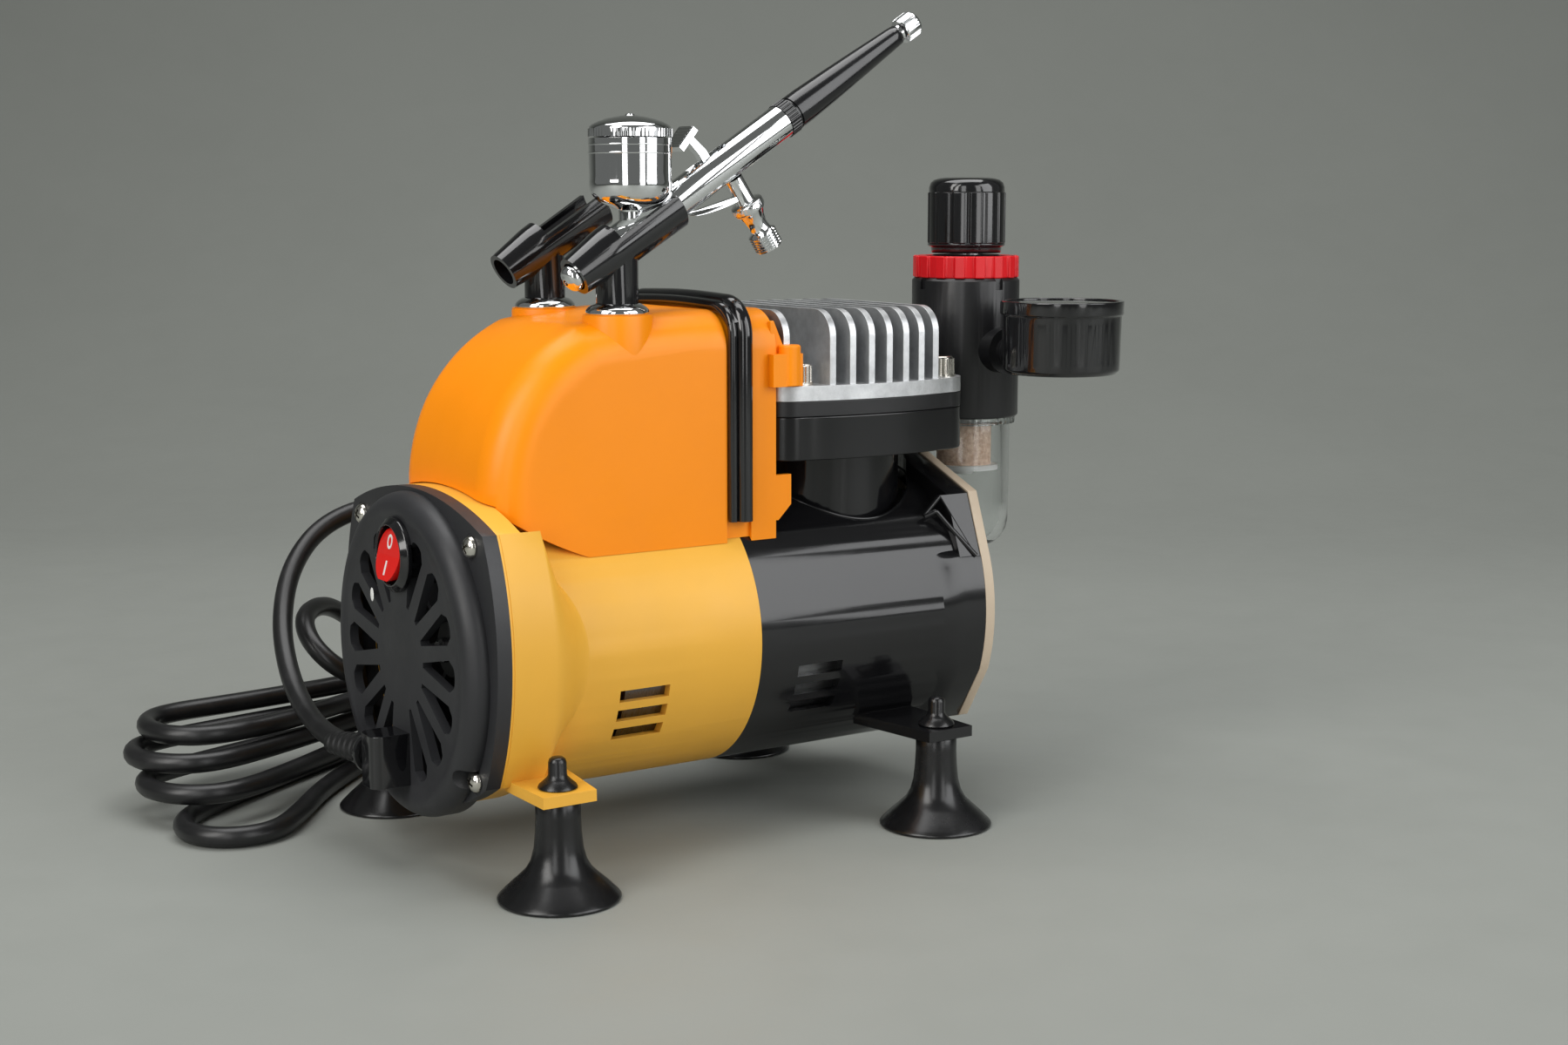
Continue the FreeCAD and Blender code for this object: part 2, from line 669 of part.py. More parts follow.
# ---------------------------------------------------------------- top cover, handle and holders
def cover_block(label, inset, rear, foot):
    """The rounded block of the cover, or of the room inside it, seen from the side and padded."""
    body = new_body(label, node=False)
    half = cover_half - inset
    side_view = [
        (-79 + inset, foot), (-79 + inset, 121, 1.2), (-72.5 + inset * 0.9, 145 - inset / 2, 3.2),
        (-45, 170.8 - inset, 0.9), (-5, cover_top - inset), (rear, cover_top - inset), (rear, foot)]
    if inset == 0:
        side_view = side_view[1:-1] + [(rear, 98), (-43, 98, 1), (-72, 112), (-79, 118)]
    pad(body, "XZ_Plane", side_view, -half, 2 * half)
    round_edges(body, 13 - inset, lambda mid, edge: abs(abs(mid.y) - half.number) < 0.1 and outer_curve(mid))
    return body


def top_cover():
    outside = cover_block("cover_outside", 0.0, cover_rear, 112)
    # Bosses for the two holder posts rise out of the shoulders.
    post(outside, "XY_Plane", [(post_x, side * post_y) for side in SIDES], 11, 150, boss_top - 150)
    # Lugs at the rear edge: the upper one is screwed to the head, the lower one hugs the flange.
    for side in SIDES:
        upper = -34.6 - 4.6 if side > 0 else 34.6
        lower = -36 if side > 0 else 33.8
        pad(outside, "XZ_Plane", rectangle(cover_rear - 3, 149.3, 32.5, 160), upper, 4.6)
        lug = [(cover_rear - 3, 105), (cover_rear + 1, 105), (30, 110), (30, 120), (cover_rear - 3, 120)]
        pad(outside, "XZ_Plane", lug, lower, 2.2)
    room = cover_block("cover_room", cover_wall.number, cover_rear + 1, 90)
    # The cover sits on the round shell, and the posts' studs pass through the bosses.
    saddle = cylinder("cover_saddle", shell_radius + 0.2, 140, (-100, 0, axis_height), ALONG_X)
    bores = [cylinder("boss_bore", 3.3, 40, (post_x, side * post_y, 140)) for side in SIDES]
    # The front shell's flange keeps clear of the cover's foot.
    rim = new_body("cover_rim_gap", (0, 0, axis_height), node=False)
    pad(rim, "YZ_Plane", flange_outline(0.4), flange_joint - 1, flange_back - flange_joint + 1.3)
    # The handle's channel runs up one side, over the top and down the other.
    channel = new_body("cover_channel", node=False)
    sketch = sketch_on(channel, "YZ_Plane", channel_front)
    draw(sketch, arch(cover_half - 1.2, cover_top - 1.2, 12, 92))
    draw(sketch, arch(cover_half + 8, cover_top + 12, 12, 90))
    solid_step(channel, "Pad", sketch, channel_rear - channel_front)
    cut("top_cover", outside, fuse("cover_cuts", [room, saddle, rim, channel] + bores, node=False))


def outer_curve(mid):
    """True for the middle of an edge along the cover's upper outline."""
    return mid.z > 125 and mid.x < 20


def arch(half, top, corner, foot):
    """An upside-down U: straight sides, round shoulders and a flat top."""
    rise = 0.2929 * corner
    return [(-half, foot), (half, foot), (half, top - corner, -rise), (half - corner, top),
            (corner - half, top, -rise), (-half, top - corner)]


def carry_handle():
    """A band over the cover that pulls straight up."""
    body = new_body("carry_handle")
    inner_half, inner_top = cover_half - 0.9, cover_top - 0.9
    start = channel_front + gap
    width = channel_rear - channel_front - 2 * gap
    sketch = sketch_on(body, "YZ_Plane", start)
    rise = 0.2929 * 12
    wide = 0.2929 * 15
    draw(sketch, [
        (handle_half, 106), (handle_half, handle_top - 15, -wide), (handle_half - 15, handle_top, -1.3),
        (15 - handle_half, handle_top, -wide), (-handle_half, handle_top - 15), (-handle_half, 106),
        (-inner_half, 106), (-inner_half, inner_top - 12, rise), (12 - inner_half, inner_top),
        (inner_half - 12, inner_top, rise), (inner_half, inner_top - 12), (inner_half, 106)])
    solid_step(body, "Pad", sketch, width)
    return body


def holder_washers():
    washers = []
    for side in SIDES:
        outline = [(3.4, boss_top), (10.15, boss_top), (10.15, boss_top + 1.2), (8.8, washer_top - 0.6),
                   (7, washer_top), (3.4, washer_top)]
        washers.append(turned("holder_washer", outline, (post_x, side * post_y, 0), node=False))
    group("holder_washers", washers)


def holder_nuts():
    nuts = []
    for side in SIDES:
        nut = new_body("holder_nut", (post_x, side * post_y, 0), node=False)
        sketch = sketch_on(nut, "XY_Plane", 160)
        across = 5.77
        draw(sketch, [(across * math.cos(math.radians(60 * step)), across * math.sin(math.radians(60 * step)))
                      for step in range(6)])
        circle(sketch, 0, 0, 3.05)
        solid_step(nut, "Pad", sketch, 5)
        nuts.append(nut)
    group("holder_nuts", nuts)


def holder(label, side):
    """A tilted tube with an open top, on a round post that turns in the cover."""
    tube = new_body(label + "_tube", node=False)
    wall = draw(sketch_on(tube, "XZ_Plane"), [
        (2.6, 4.8), (2.6, 6.4), (16, 7.9), (44, 8.4), (44, holder_bore), (13, holder_bore), (11, 4.8)])
    solid_step(tube, "Revolution", wall, axis="H_Axis")
    # Behind the nose the walls are cut down, so that the cup's neck and bowl can pass.
    pocket(tube, "XY_Plane", rectangle(20, -9, 46, 9), 3.4, 12)
    tilt(tube, (holder_front_x, side * post_y, holder_front_z), holder_tilt.number)
    bore = cylinder(label + "_bore", holder_bore, 60, (holder_front_x, side * post_y, holder_front_z))
    bore.Placement = tube.Placement.multiply(Placement(Vector(-2, 0, 0), Rotation(UP, ALONG_X)))
    for axis in "xyz":
        bore.setExpression("Placement.Base.%s" % axis, None)
    # The post's top follows the underside of the tube.
    stem = cylinder(label + "_stem", 6.8, 14, (post_x, side * post_y, washer_top))
    stem_cut = cut(label + "_stem_cut", stem, bore, node=False)
    stud = cylinder(label + "_stud", 3, 20, (post_x, side * post_y, washer_top - 19.5))
    fuse(label, [tube, stem_cut, stud])


# ---------------------------------------------------------------- filter regulator and gauge
def regulator():
    centre = (regulator_x, 0, 0)
    wide = regulator_radius
    body = turned("regulator_body", [
        (4, regulator_low), (wide - 0.6, regulator_low), (wide, regulator_low + 0.6),
        (wide, regulator_top - 1), (wide - 1, regulator_top), (14.8, regulator_top), (14.8, 188),
        (12, 189.8), (6.2, 189.8), (6.2, 181.6), (12.5, 181.6), (12.5, 166), (4, 166)], centre)
    # Ports: inlet to the head, gauge to the -Y side, outlet to the +Y side.
    for role, start in (("XZ_Plane", 17), ("XZ_Plane", -24)):
        post(body, role, [(0, port_height - 4)], 8, start, 7)
    post(body, "YZ_Plane", [(0, port_height - 3)], 8, -20, 6)
    for role, start in (("XZ_Plane", 12), ("XZ_Plane", -25)):
        drill(body, role, [(0, port_height - 4)], 4.9, start, 13)
    drill(body, "YZ_Plane", [(0, port_height - 3)], 4.9, -21, 12)
    # Vertical notches round the top take the lock ring's key.
    notch = pocket(body, "XY_Plane", rectangle(wide - 1.2, -1.5, wide + 1, 1.5), regulator_top - 4, 5)
    polar(body, notch, "Z_Axis", 360, 4)
    ring_body = turned("regulator_lock_ring", ring(14.8, 18.2, regulator_top, regulator_top + 7.9), centre)
    tooth = pad(ring_body, "XY_Plane", rectangle(17.6, -1.9, 19.2, 1.9), regulator_top, 7.9)
    polar(ring_body, tooth, "Z_Axis", 360, 16)
    turned("adjusting_spring", ring(8, 11, 166, 180.4), centre)
    turned("regulator_spindle", [(0, 180.6), (11, 180.6), (11, 181.4), (6.1, 181.4), (6.1, 205), (0, 205)],
           centre)
    knob()


def knob():
    """The knob pulls up to unlock and turns the spindle."""
    body = turned("regulator_knob", [
        (6.2, knob_low), (12.6, knob_low), (13, knob_low + 2.4), (knob_radius, knob_low + 2.8),
        (knob_radius, knob_top - 4), (11, knob_top - 0.8, 0), (7, knob_top), (0, knob_top),
        (0, 209.5), (6.2, 209.5)], (regulator_x, 0, 0))
    sketch = sketch_on(body, "XY_Plane", knob_low + 3)
    circle(sketch, knob_radius + 0.4, 0, 1)
    flute = solid_step(body, "Pocket", sketch, 21)
    polar(body, flute, "Z_Axis", 360, 24)


def filter_bowl():
    centre = (regulator_x, 0, 0)
    turned("bowl_ring", ring(15, 18.6, 128.6, regulator_low), centre)
    wide, low = bowl_radius, bowl_low
    turned("filter_bowl", [
        (4, low - 2), (7, low - 2), (8, low), (wide - 5, low + 1.2, -1.2), (wide - 0.3, low + 8),
        (wide, 128.6), (15, 128.6), (15, regulator_low), (wide - 2.6, regulator_low),
        (wide - 2.8, low + 9), (wide - 6, low + 3.4), (4, low + 3)], centre)
    turned("filter_element", ring(4.2, 10, 113.4, 129), centre)
    # The disc under the filter and the screw that holds the filter up are one piece.
    turned("filter_baffle", [(0, 109.6), (3.6, 109.6), (3.6, 111.6), (12.6, 111.6), (12.6, 113.4),
                             (4.2, 113.4), (4.2, 129), (4, 129), (4, 140), (0, 140)], centre)
    turned("drain_valve", [(0, low - 7), (3, low - 7), (3.4, low - 6.4), (3.4, low - 4.5), (2.9, low - 4),
                           (3.7, low + 3.6), (3.7, low + 4), (5.4, low + 4.2), (5.4, low + 6), (0, low + 6)],
           centre)


def gauge():
    centre = (regulator_x, gauge_y, 0)
    wide = gauge_radius
    case = turned("gauge_case", [
        (0, gauge_low), (wide - 2, gauge_low), (wide - 0.6, gauge_low + 1.4), (wide - 0.2, gauge_top - 5),
        (wide + 0.5, gauge_top - 4.6), (wide + 0.5, gauge_top), (wide - 1.2, gauge_top),
        (wide - 1.2, gauge_top - 2), (wide - 2.4, gauge_top - 2), (wide - 2.4, gauge_low + 14),
        (0, gauge_low + 14)], centre)
    turned("gauge_dial", [(1.3, gauge_low + 14), (wide - 2.5, gauge_low + 14), (wide - 2.5, gauge_low + 14.8),
                          (1.3, gauge_low + 14.8)], centre)
    needle = turned("gauge_needle", ring(0, 1.2, gauge_low + 14.2, gauge_low + 19), centre)
    point = [(1, -0.8), (15, -0.3), (15, 0.3), (1, 0.8)]
    pad(needle, "XY_Plane", point, gauge_low + 17, 0.7, turn=225)
    pad(needle, "XY_Plane", rectangle(-6, -1, -0.8, 1), gauge_low + 17, 0.7, turn=225)
    turned("gauge_lens", [(0, gauge_top - 2), (wide - 1.2, gauge_top - 2), (wide - 1.2, gauge_top - 0.5),
                          (0, gauge_top - 0.2)], centre)
    stem = [(0, 0), (4.9, 0), (4.9, 9), (6.5, 9), (6.5, 15), (0, 15)]
    turned("gauge_stem", stem, (regulator_x, -18.6, port_height - 4), (0, -1, 0))
    return case


def fittings():
    """The block from the head to the regulator and the outlet nipple for the hose."""
    block = new_body("regulator_fitting")
    pad(block, "XY_Plane", rectangle(93.5, -9, 104, 9), head_high, 17)
    post(block, "YZ_Plane", [(0, port_height - 3)], 4.9, 103.5, 12)
    round_edges(block, 2.5, lambda mid, edge: mid.z > 165.9 and mid.x < 104)
    turned("hose_outlet", [
        (2, 0), (4.9, 0), (4.9, 9), (7, 9), (7, 13.5), (4.86, 13.5), (4.86, 21.5), (4.2, 22.2), (2, 22.2)],
           (regulator_x, 14.6, port_height - 4), (0, 1, 0))


# ---------------------------------------------------------------- airbrush parked in the holder
def on_airbrush(label, points, node=True):
    """A part turned about the airbrush's axis, from (distance along the axis, radius) points."""
    body = new_body(label, node=node)
    solid_step(body, "Revolution", draw(sketch_on(body, "XZ_Plane"), points), axis="H_Axis")
    tilt(body, (holder_front_x, -post_y, holder_front_z), holder_tilt.number)
    return body


def airbrush():
    barrel = airbrush_radius
    on_airbrush("airbrush_nozzle_cap", [(-1, 1), (-1, 2.2), (0.5, 3), (1.6, 4.4), (6.8, 4.4), (6.8, 1)])
    body = on_airbrush("airbrush_body", [
        (6.8, 1), (6.8, 4), (11.4, 4.1), (14.6, barrel), (94, barrel), (94, 1)])
    # Slot for the trigger, and the guard between the valve and the barrel.
    pocket(body, "XY_Plane", rectangle(55, -2.3, 71, 2.3), 0, 8)
    guard = [(45.5, -5.2), (50, -8, -0.5), (65.5, -12.4), (65.5, -10.8), (50.5, -6.4, 0), (48, -5)]
    pad(body, "XZ_Plane", guard, -1.5, 3)
    on_airbrush("airbrush_handle", [
        (94, 1), (94, 6.1), (98.5, 6.1), (98.5, 5.8), (104, 5.8), (150, 3.5), (150, 1)])
    on_airbrush("airbrush_end_knob", [
        (150, 0), (150, 3), (151.5, 4.5), (157.5, 4.5), (158.5, 3.6), (158.5, 0)])
    on_airbrush("airbrush_needle", [(-2.5, 0), (2, 0.6), (144, 0.6), (144, 0)])
    valve = turned("air_valve_turned", [
        (0, -32.2), (4.4, -32.2), (4.86, -31.6), (4.86, -26), (3.4, -22.6), (5.6, -17.6), (5.6, -14.8),
        (3.2, -14.2), (3.2, -4.6), (0, -4.6)], node=False)
    at_barrel(valve, 68.5)
    cut("airbrush_air_valve", valve, barrel_rod("valve_saddle"))
    cup_and_trigger()


def barrel_rod(label):
    """A rod as thick as the barrel, which shapes what is seated on it."""
    rod = cylinder(label, airbrush_radius, 95, (0, 0, 0))
    at_barrel(rod, 5)
    rod.Placement = rod.Placement.multiply(Placement(Vector(), Rotation(UP, ALONG_X)))
    return rod


def at_barrel(thing, distance):
    """Move a part, drawn square to the airbrush's axis, to its place along that axis."""
    turn = Rotation(Vector(0, 1, 0), -holder_tilt.number)
    start = Vector(holder_front_x.number, -post_y.number, holder_front_z.number)
    for axis in "xyz":
        thing.setExpression("Placement.Base.%s" % axis, None)
    thing.Placement = Placement(start + turn.multVec(Vector(distance, 0, 0)), turn)


def cup_and_trigger():
    centre = (-23.4, -post_y, 0)
    cup = turned("cup_turned", [
        (0, 199), (3.6, 199), (3.8, 206.6), (8.5, 208.4, -1.6), (13, 216), (13.25, 229), (11.9, 229),
        (11.7, 217), (8, 212.4), (0, 210.6)], centre, node=False)
    # The bowl and its neck are seated on the barrel.
    cut("airbrush_cup", cup, barrel_rod("cup_saddle"))
    turned("airbrush_cup_lid", [
        (0, 229.3), (11.6, 229.3), (13.3, 229.3), (13.3, 232.4), (12.4, 233.4), (6, 235.6), (1.2, 236.2),
        (1.2, 236.6), (0, 236.6)], centre)
    trigger = new_body("airbrush_trigger")
    lever = [(-1.6, 1.5), (1.6, 1.5), (1.4, 8), (-0.6, 14.4), (-3, 14.4), (-1.6, 8)]
    pad(trigger, "XZ_Plane", lever, -1.6, 3.2)
    pad(trigger, "XZ_Plane", [(-7.5, 12.8), (0.6, 15.6), (-0.2, 17.6), (-8.2, 14.9)], -4.6, 9.2)
    at_barrel(trigger, 62.5)


# ---------------------------------------------------------------- mains cord
def cord_route():
    """The free stretch of the cord, from the gland up in a standing loop and down behind."""
    return [
        (-103, 9, 35.5), (-105, 31, 33.5), (-105, 55, 37.5), (-103, 77, 47), (-98, 97, 62), (-88, 112, 79),
        (-72, 121, 92), (-50, 122, 98), (-28, 118, 93), (-9, 116, 80), (0, 119, 61), (0, 123, 37.5)]


def cord_tube(label, route):
    """Straight runs joined by tangent arcs, swept with a round section."""
    points = [Vector(*point) for point in route]
    edges = []
    start = points[0]
    for before, here, after in zip(points, points[1:], points[2:]):
        back = (before - here).normalize()
        ahead = (after - here).normalize()
        turn = math.pi - back.getAngle(ahead)
        trim = 0.45 * min((before - here).Length, (after - here).Length)
        radius = trim / math.tan(turn / 2)
        first = here + back * trim
        last = here + ahead * trim
        toward = (back + ahead).normalize()
        middle = here + toward * (radius / math.cos(turn / 2) - radius)
        print("%s: turn %.0f deg, radius %.1f mm" % (label, math.degrees(turn), radius))
        edges.append(Part.LineSegment(start, first).toShape())
        edges.append(Part.Arc(first, middle, last).toShape())
        start = last
    edges.append(Part.LineSegment(start, points[-1]).toShape())
    wire = Part.Wire(edges)
    radius = sheet.cord_radius
    section = Part.Wire(Part.Circle(points[0], points[1] - points[0], radius).toShape())
    tube = wire.makePipeShell([section], True, False)
    expected = math.pi * radius * radius * wire.Length
    print("%s: length %.0f mm, volume ratio %.4f" % (label, wire.Length, tube.Volume / expected))
    if abs(tube.Volume / expected - 1) > 0.01:
        raise ValueError("%s: the tube's volume doesn't match its length" % label)
    feature = doc.addObject("Part::Feature", label)
    feature.Label = label
    feature.Shape = tube
    nodes.append(feature)


def cord_hank():
    """The outer shape of the tied hank behind the grille's corner, with one loop that stands up."""
    body = new_body("cord_hank")
    plan = [(-149, 44), (-122, 40), (-95, 76), (-60, 100), (-30, 104), (10, 103), (19, 116), (19, 146),
            (4, 158), (-60, 152), (-120, 134), (-149, 122), (-153, 96)]
    pad(body, "XY_Plane", plan, 0.1, 37.9)
    pad(body, "XY_Plane", [(-97, 94), (-84, 92), (-52, 124), (-50, 150), (-64, 148), (-97, 106)], 20, 46)
    tie = new_body("cord_tie")
    pad(tie, "XY_Plane", rectangle(-50, 106, -47, 160), 37.5, 1.2)


def plug():
    """A flat two-pin plug lying behind the compressor, at the end of the hank."""
    body = new_body("plug", (18.9, 132, 6.4), ALONG_X)
    post(body, "XY_Plane", [(0, 0)], 5.4, 0, 13)
    pad(body, "XY_Plane", rectangle(-6.2, -12, 6.2, 12), 12, 24)
    post(body, "XY_Plane", [(0, -9), (0, 9)], 2, 35, 19)


# ---------------------------------------------------------------- build
grille_cover()
grille_screws()
switch()
cord_gland()
front_shell()
rear_shell()
rear_end_plate()
end_plate_screws()
suction_feet()
motor()
cooling_fan()
bearing_brackets()
crankcase()
crank()
piston()
cylinder_parts()
cylinder_head()
head_bolts()
top_cover()
carry_handle()
holder_washers()
holder_nuts()
holder("holder_front", -1)
holder("holder_rear", 1)
fittings()
regulator()
filter_bowl()
gauge()
airbrush()
cord_tube("power_cord", cord_route())
cord_hank()
plug()
doc.recompute()

for thing in doc.Objects:
    failed = [word for word in thing.State if word in ("Invalid", "Error")]
    if failed:
        raise ValueError("%s: %s" % (thing.Label, failed))

os.makedirs("parts", exist_ok=True)
to_object = Placement(Vector(frame_shift.number, 0, 0), Rotation())
for node in nodes:
    shape = node.Shape.copy()
    if shape.isNull() or not shape.isValid() or not shape.Solids:
        raise ValueError("%s: the shape isn't a valid solid" % node.Label)
    shape.Placement = to_object.multiply(shape.Placement)
    shape.exportStep("parts/%s.step" % node.Label)
    bounds = shape.BoundBox
    print("%-22s solids %2d  volume %9.1f  X %7.1f..%6.1f  Y %6.1f..%6.1f  Z %6.1f..%6.1f" % (
        node.Label, len(shape.Solids), shape.Volume, bounds.XMin, bounds.XMax, bounds.YMin,
        bounds.YMax, bounds.ZMin, bounds.ZMax))
print("nodes", len(nodes))
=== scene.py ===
import math

import bmesh
import bpy
from bpy.props import FloatProperty, FloatVectorProperty, PointerProperty
from bpy.types import Operator, Panel, PropertyGroup
from mathutils import Matrix, Vector


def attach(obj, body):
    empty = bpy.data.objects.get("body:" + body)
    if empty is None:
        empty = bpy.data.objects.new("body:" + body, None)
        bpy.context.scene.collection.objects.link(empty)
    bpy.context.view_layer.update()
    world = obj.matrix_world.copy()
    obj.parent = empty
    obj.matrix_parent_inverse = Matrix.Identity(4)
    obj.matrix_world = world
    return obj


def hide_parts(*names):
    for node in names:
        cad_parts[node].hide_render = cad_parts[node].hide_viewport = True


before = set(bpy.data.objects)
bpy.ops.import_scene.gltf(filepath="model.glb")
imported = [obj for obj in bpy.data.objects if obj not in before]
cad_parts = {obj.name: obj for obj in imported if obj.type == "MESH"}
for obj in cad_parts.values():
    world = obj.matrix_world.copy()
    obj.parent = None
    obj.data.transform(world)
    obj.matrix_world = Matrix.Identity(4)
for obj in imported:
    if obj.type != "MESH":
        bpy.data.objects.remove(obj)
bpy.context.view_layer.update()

bl_info = {
    "name": "Airbrush compressor",
    "version": (1, 0, 0),
    "blender": (4, 5, 0),
    "location": "View3D > Sidebar > Compressor",
    "description": "Finished pieces and materials for a mini airbrush compressor",
    "category": "Object",
}

# Lengths are in millimetres until they reach a mesh; the drawing's X runs from the middle of
# the four feet, and the frame's X is this much further back.
MM = 0.001
DRAWING_SHIFT = -21.95
AXIS_HEIGHT = 67.0
TILT = math.radians(32.36)
BRUSH_START = (-46.1, -24.7, 184.7)
SIDES = (-1, 1)


def at(x, y, z):
    """A point of the drawing, in the frame's metres."""
    return Vector(((x + DRAWING_SHIFT) * MM, y * MM, z * MM))


def hand(side):
    """The letter for a side: r towards -Y, l towards +Y."""
    return "l" if side > 0 else "r"


def on_brush(along, up=0.0, side=0.0):
    """A point given along, square above and beside the airbrush's axis."""
    x, y, z = BRUSH_START
    c, s = math.cos(TILT), math.sin(TILT)
    return at(x + along * c - up * s, y + side, z + along * s + up * c)


# ------------------------------------------------------------------ settings
class CompressorFinish(PropertyGroup):
    """Colours and sizes that a user would change."""

    shell_colour: FloatVectorProperty(
        name="Shell", description="Yellow of the front motor shell", subtype="COLOR", size=3,
        default=(0.80, 0.42, 0.05), min=0, max=1)
    cover_colour: FloatVectorProperty(
        name="Cover", description="Orange of the top cover", subtype="COLOR", size=3,
        default=(0.94, 0.275, 0.002), min=0, max=1)
    switch_colour: FloatVectorProperty(
        name="Switch", description="Red of the rocker", subtype="COLOR", size=3,
        default=(0.82, 0.012, 0.008), min=0, max=1)
    lock_ring_colour: FloatVectorProperty(
        name="Lock ring", description="Red of the regulator's lock ring", subtype="COLOR", size=3,
        default=(0.72, 0.006, 0.012), min=0, max=1)
    edge_round: FloatProperty(
        name="Edge rounding", description="Rounding of moulded edges", unit="LENGTH",
        default=0.0006, min=0, max=0.002, precision=5)
    cord_diameter: FloatProperty(
        name="Cord", description="Diameter of the mains cord", unit="LENGTH",
        default=0.007, min=0.004, max=0.01, precision=5)
    floor_colour: FloatVectorProperty(
        name="Floor", description="Pale floor and backdrop", subtype="COLOR", size=3,
        default=(0.262, 0.274, 0.254), min=0, max=1)


def finish_settings():
    return bpy.context.scene.compressor_finish


# ------------------------------------------------------------------ materials
class Nodes:
    """Short hand for building a node material on Object coordinates."""

    def __init__(self, name):
        self.material = bpy.data.materials.get(name) or bpy.data.materials.new(name)
        self.material.use_nodes = True
        self.tree = self.material.node_tree
        self.tree.nodes.clear()
        self.shader = self.add("ShaderNodeBsdfPrincipled")
        self.output = self.add("ShaderNodeOutputMaterial")
        self.join(self.shader, "BSDF", self.output, "Surface")
        self.place = self.add("ShaderNodeTexCoord")

    def add(self, kind, **settings):
        node = self.tree.nodes.new(kind)
        for key, value in settings.items():
            setattr(node, key, value)
        return node

    def join(self, source, out, target, into):
        self.tree.links.new(source.outputs[out], target.inputs[into])

    def set(self, **values):
        for key, value in values.items():
            self.shader.inputs[key.replace("_", " ")].default_value = value

    def noise(self, scale, detail=3.0, roughness=0.55, stretch=None):
        node = self.add("ShaderNodeTexNoise")
        node.inputs["Scale"].default_value = scale
        node.inputs["Detail"].default_value = detail
        node.inputs["Roughness"].default_value = roughness
        if stretch:
            mapping = self.add("ShaderNodeMapping")
            mapping.inputs["Scale"].default_value = stretch
            self.join(self.place, "Object", mapping, "Vector")
            self.join(mapping, "Vector", node, "Vector")
        else:
            self.join(self.place, "Object", node, "Vector")
        return node

    def vary_colour(self, source, dark, light, low=0.35, high=0.65):
        ramp = self.add("ShaderNodeValToRGB")
        ramp.color_ramp.elements[0].position = low
        ramp.color_ramp.elements[1].position = high
        ramp.color_ramp.elements[0].color = (*dark, 1)
        ramp.color_ramp.elements[1].color = (*light, 1)
        self.join(source, "Fac", ramp, "Fac")
        self.join(ramp, "Color", self.shader, "Base Color")

    def vary_roughness(self, source, low, high):
        spread = self.add("ShaderNodeMapRange")
        spread.inputs["From Min"].default_value = 0.3
        spread.inputs["From Max"].default_value = 0.7
        spread.inputs["To Min"].default_value = low
        spread.inputs["To Max"].default_value = high
        self.join(source, "Fac", spread, "Value")
        self.join(spread, "Result", self.shader, "Roughness")

    def bump(self, source, strength, depth, out="Fac", after=None):
        node = self.add("ShaderNodeBump")
        node.inputs["Strength"].default_value = strength
        node.inputs["Distance"].default_value = depth
        self.join(source, out, node, "Height")
        if after:
            self.join(after, "Normal", node, "Normal")
        self.join(node, "Normal", self.shader, "Normal")
        return node


def shade(colour, factor):
    return tuple(min(1.0, part * factor) for part in colour)


def moulded(name, colour, rough, grain, grain_depth, spread=0.06, coat=0.0, ior=1.48):
    """Injection-moulded plastic: faint mottling, uneven gloss and orange peel."""
    n = Nodes(name)
    cloud = n.noise(22, 4)
    n.vary_colour(cloud, shade(colour, 1 - spread), shade(colour, 1 + spread))
    smear = n.noise(60, 5, 0.6)
    n.vary_roughness(smear, rough * 0.86, rough * 1.16)
    peel = n.noise(grain, 2, 0.5)
    n.bump(peel, 0.35, grain_depth)
    n.set(Coat_Weight=coat, Coat_Roughness=0.05, IOR=ior)
    return n.material


def plated(name, colour, rough, wave=0.00002):
    """Polished plating with the faintest ripple and hazy patches."""
    n = Nodes(name)
    n.set(Metallic=1.0)
    haze = n.noise(45, 4)
    n.vary_colour(haze, shade(colour, 0.96), colour)
    n.vary_roughness(haze, rough * 0.7, rough * 1.5)
    ripple = n.noise(120, 2)
    n.bump(ripple, 0.15, wave)
    return n.material


def cast_aluminium():
    """Blasted casting: fine sparkling grain over soft pits."""
    n = Nodes("cast_aluminium")
    n.set(Metallic=0.9)
    cloud = n.noise(90, 6, 0.7)
    n.vary_colour(cloud, (0.50, 0.51, 0.52), (0.70, 0.71, 0.72))
    n.vary_roughness(n.noise(2200, 2), 0.3, 0.55)
    pits = n.bump(n.noise(420, 4, 0.6), 0.4, 0.00012)
    n.bump(n.noise(2600, 2), 0.5, 0.00006, after=pits)
    return n.material


def rubber(name, colour, rough, grain=900):
    n = Nodes(name)
    dust = n.noise(70, 6, 0.7)
    n.vary_colour(dust, colour, shade(colour, 1.9), 0.45, 0.8)
    n.vary_roughness(dust, rough, rough * 1.35)
    n.bump(n.noise(grain, 3), 0.25, 0.00004)
    return n.material


def clear_plastic(name, tint, rough):
    n = Nodes(name)
    n.set(Base_Color=(*tint, 1), Transmission_Weight=1.0, IOR=1.47)
    n.vary_roughness(n.noise(80, 4), rough * 0.5, rough * 1.6)
    n.bump(n.noise(140, 2), 0.2, 0.00003)
    return n.material


def sintered_bronze():
    """Beads of bronze pressed together."""
    n = Nodes("sintered_bronze")
    n.set(Metallic=0.1)
    beads = n.add("ShaderNodeTexVoronoi")
    beads.inputs["Scale"].default_value = 1500
    n.join(n.place, "Object", beads, "Vector")
    n.vary_colour(n.noise(700, 3), (0.72, 0.46, 0.32), (0.95, 0.72, 0.56))
    n.set(Roughness=0.7)
    n.bump(beads, 0.8, 0.0003, out="Distance")
    return n.material


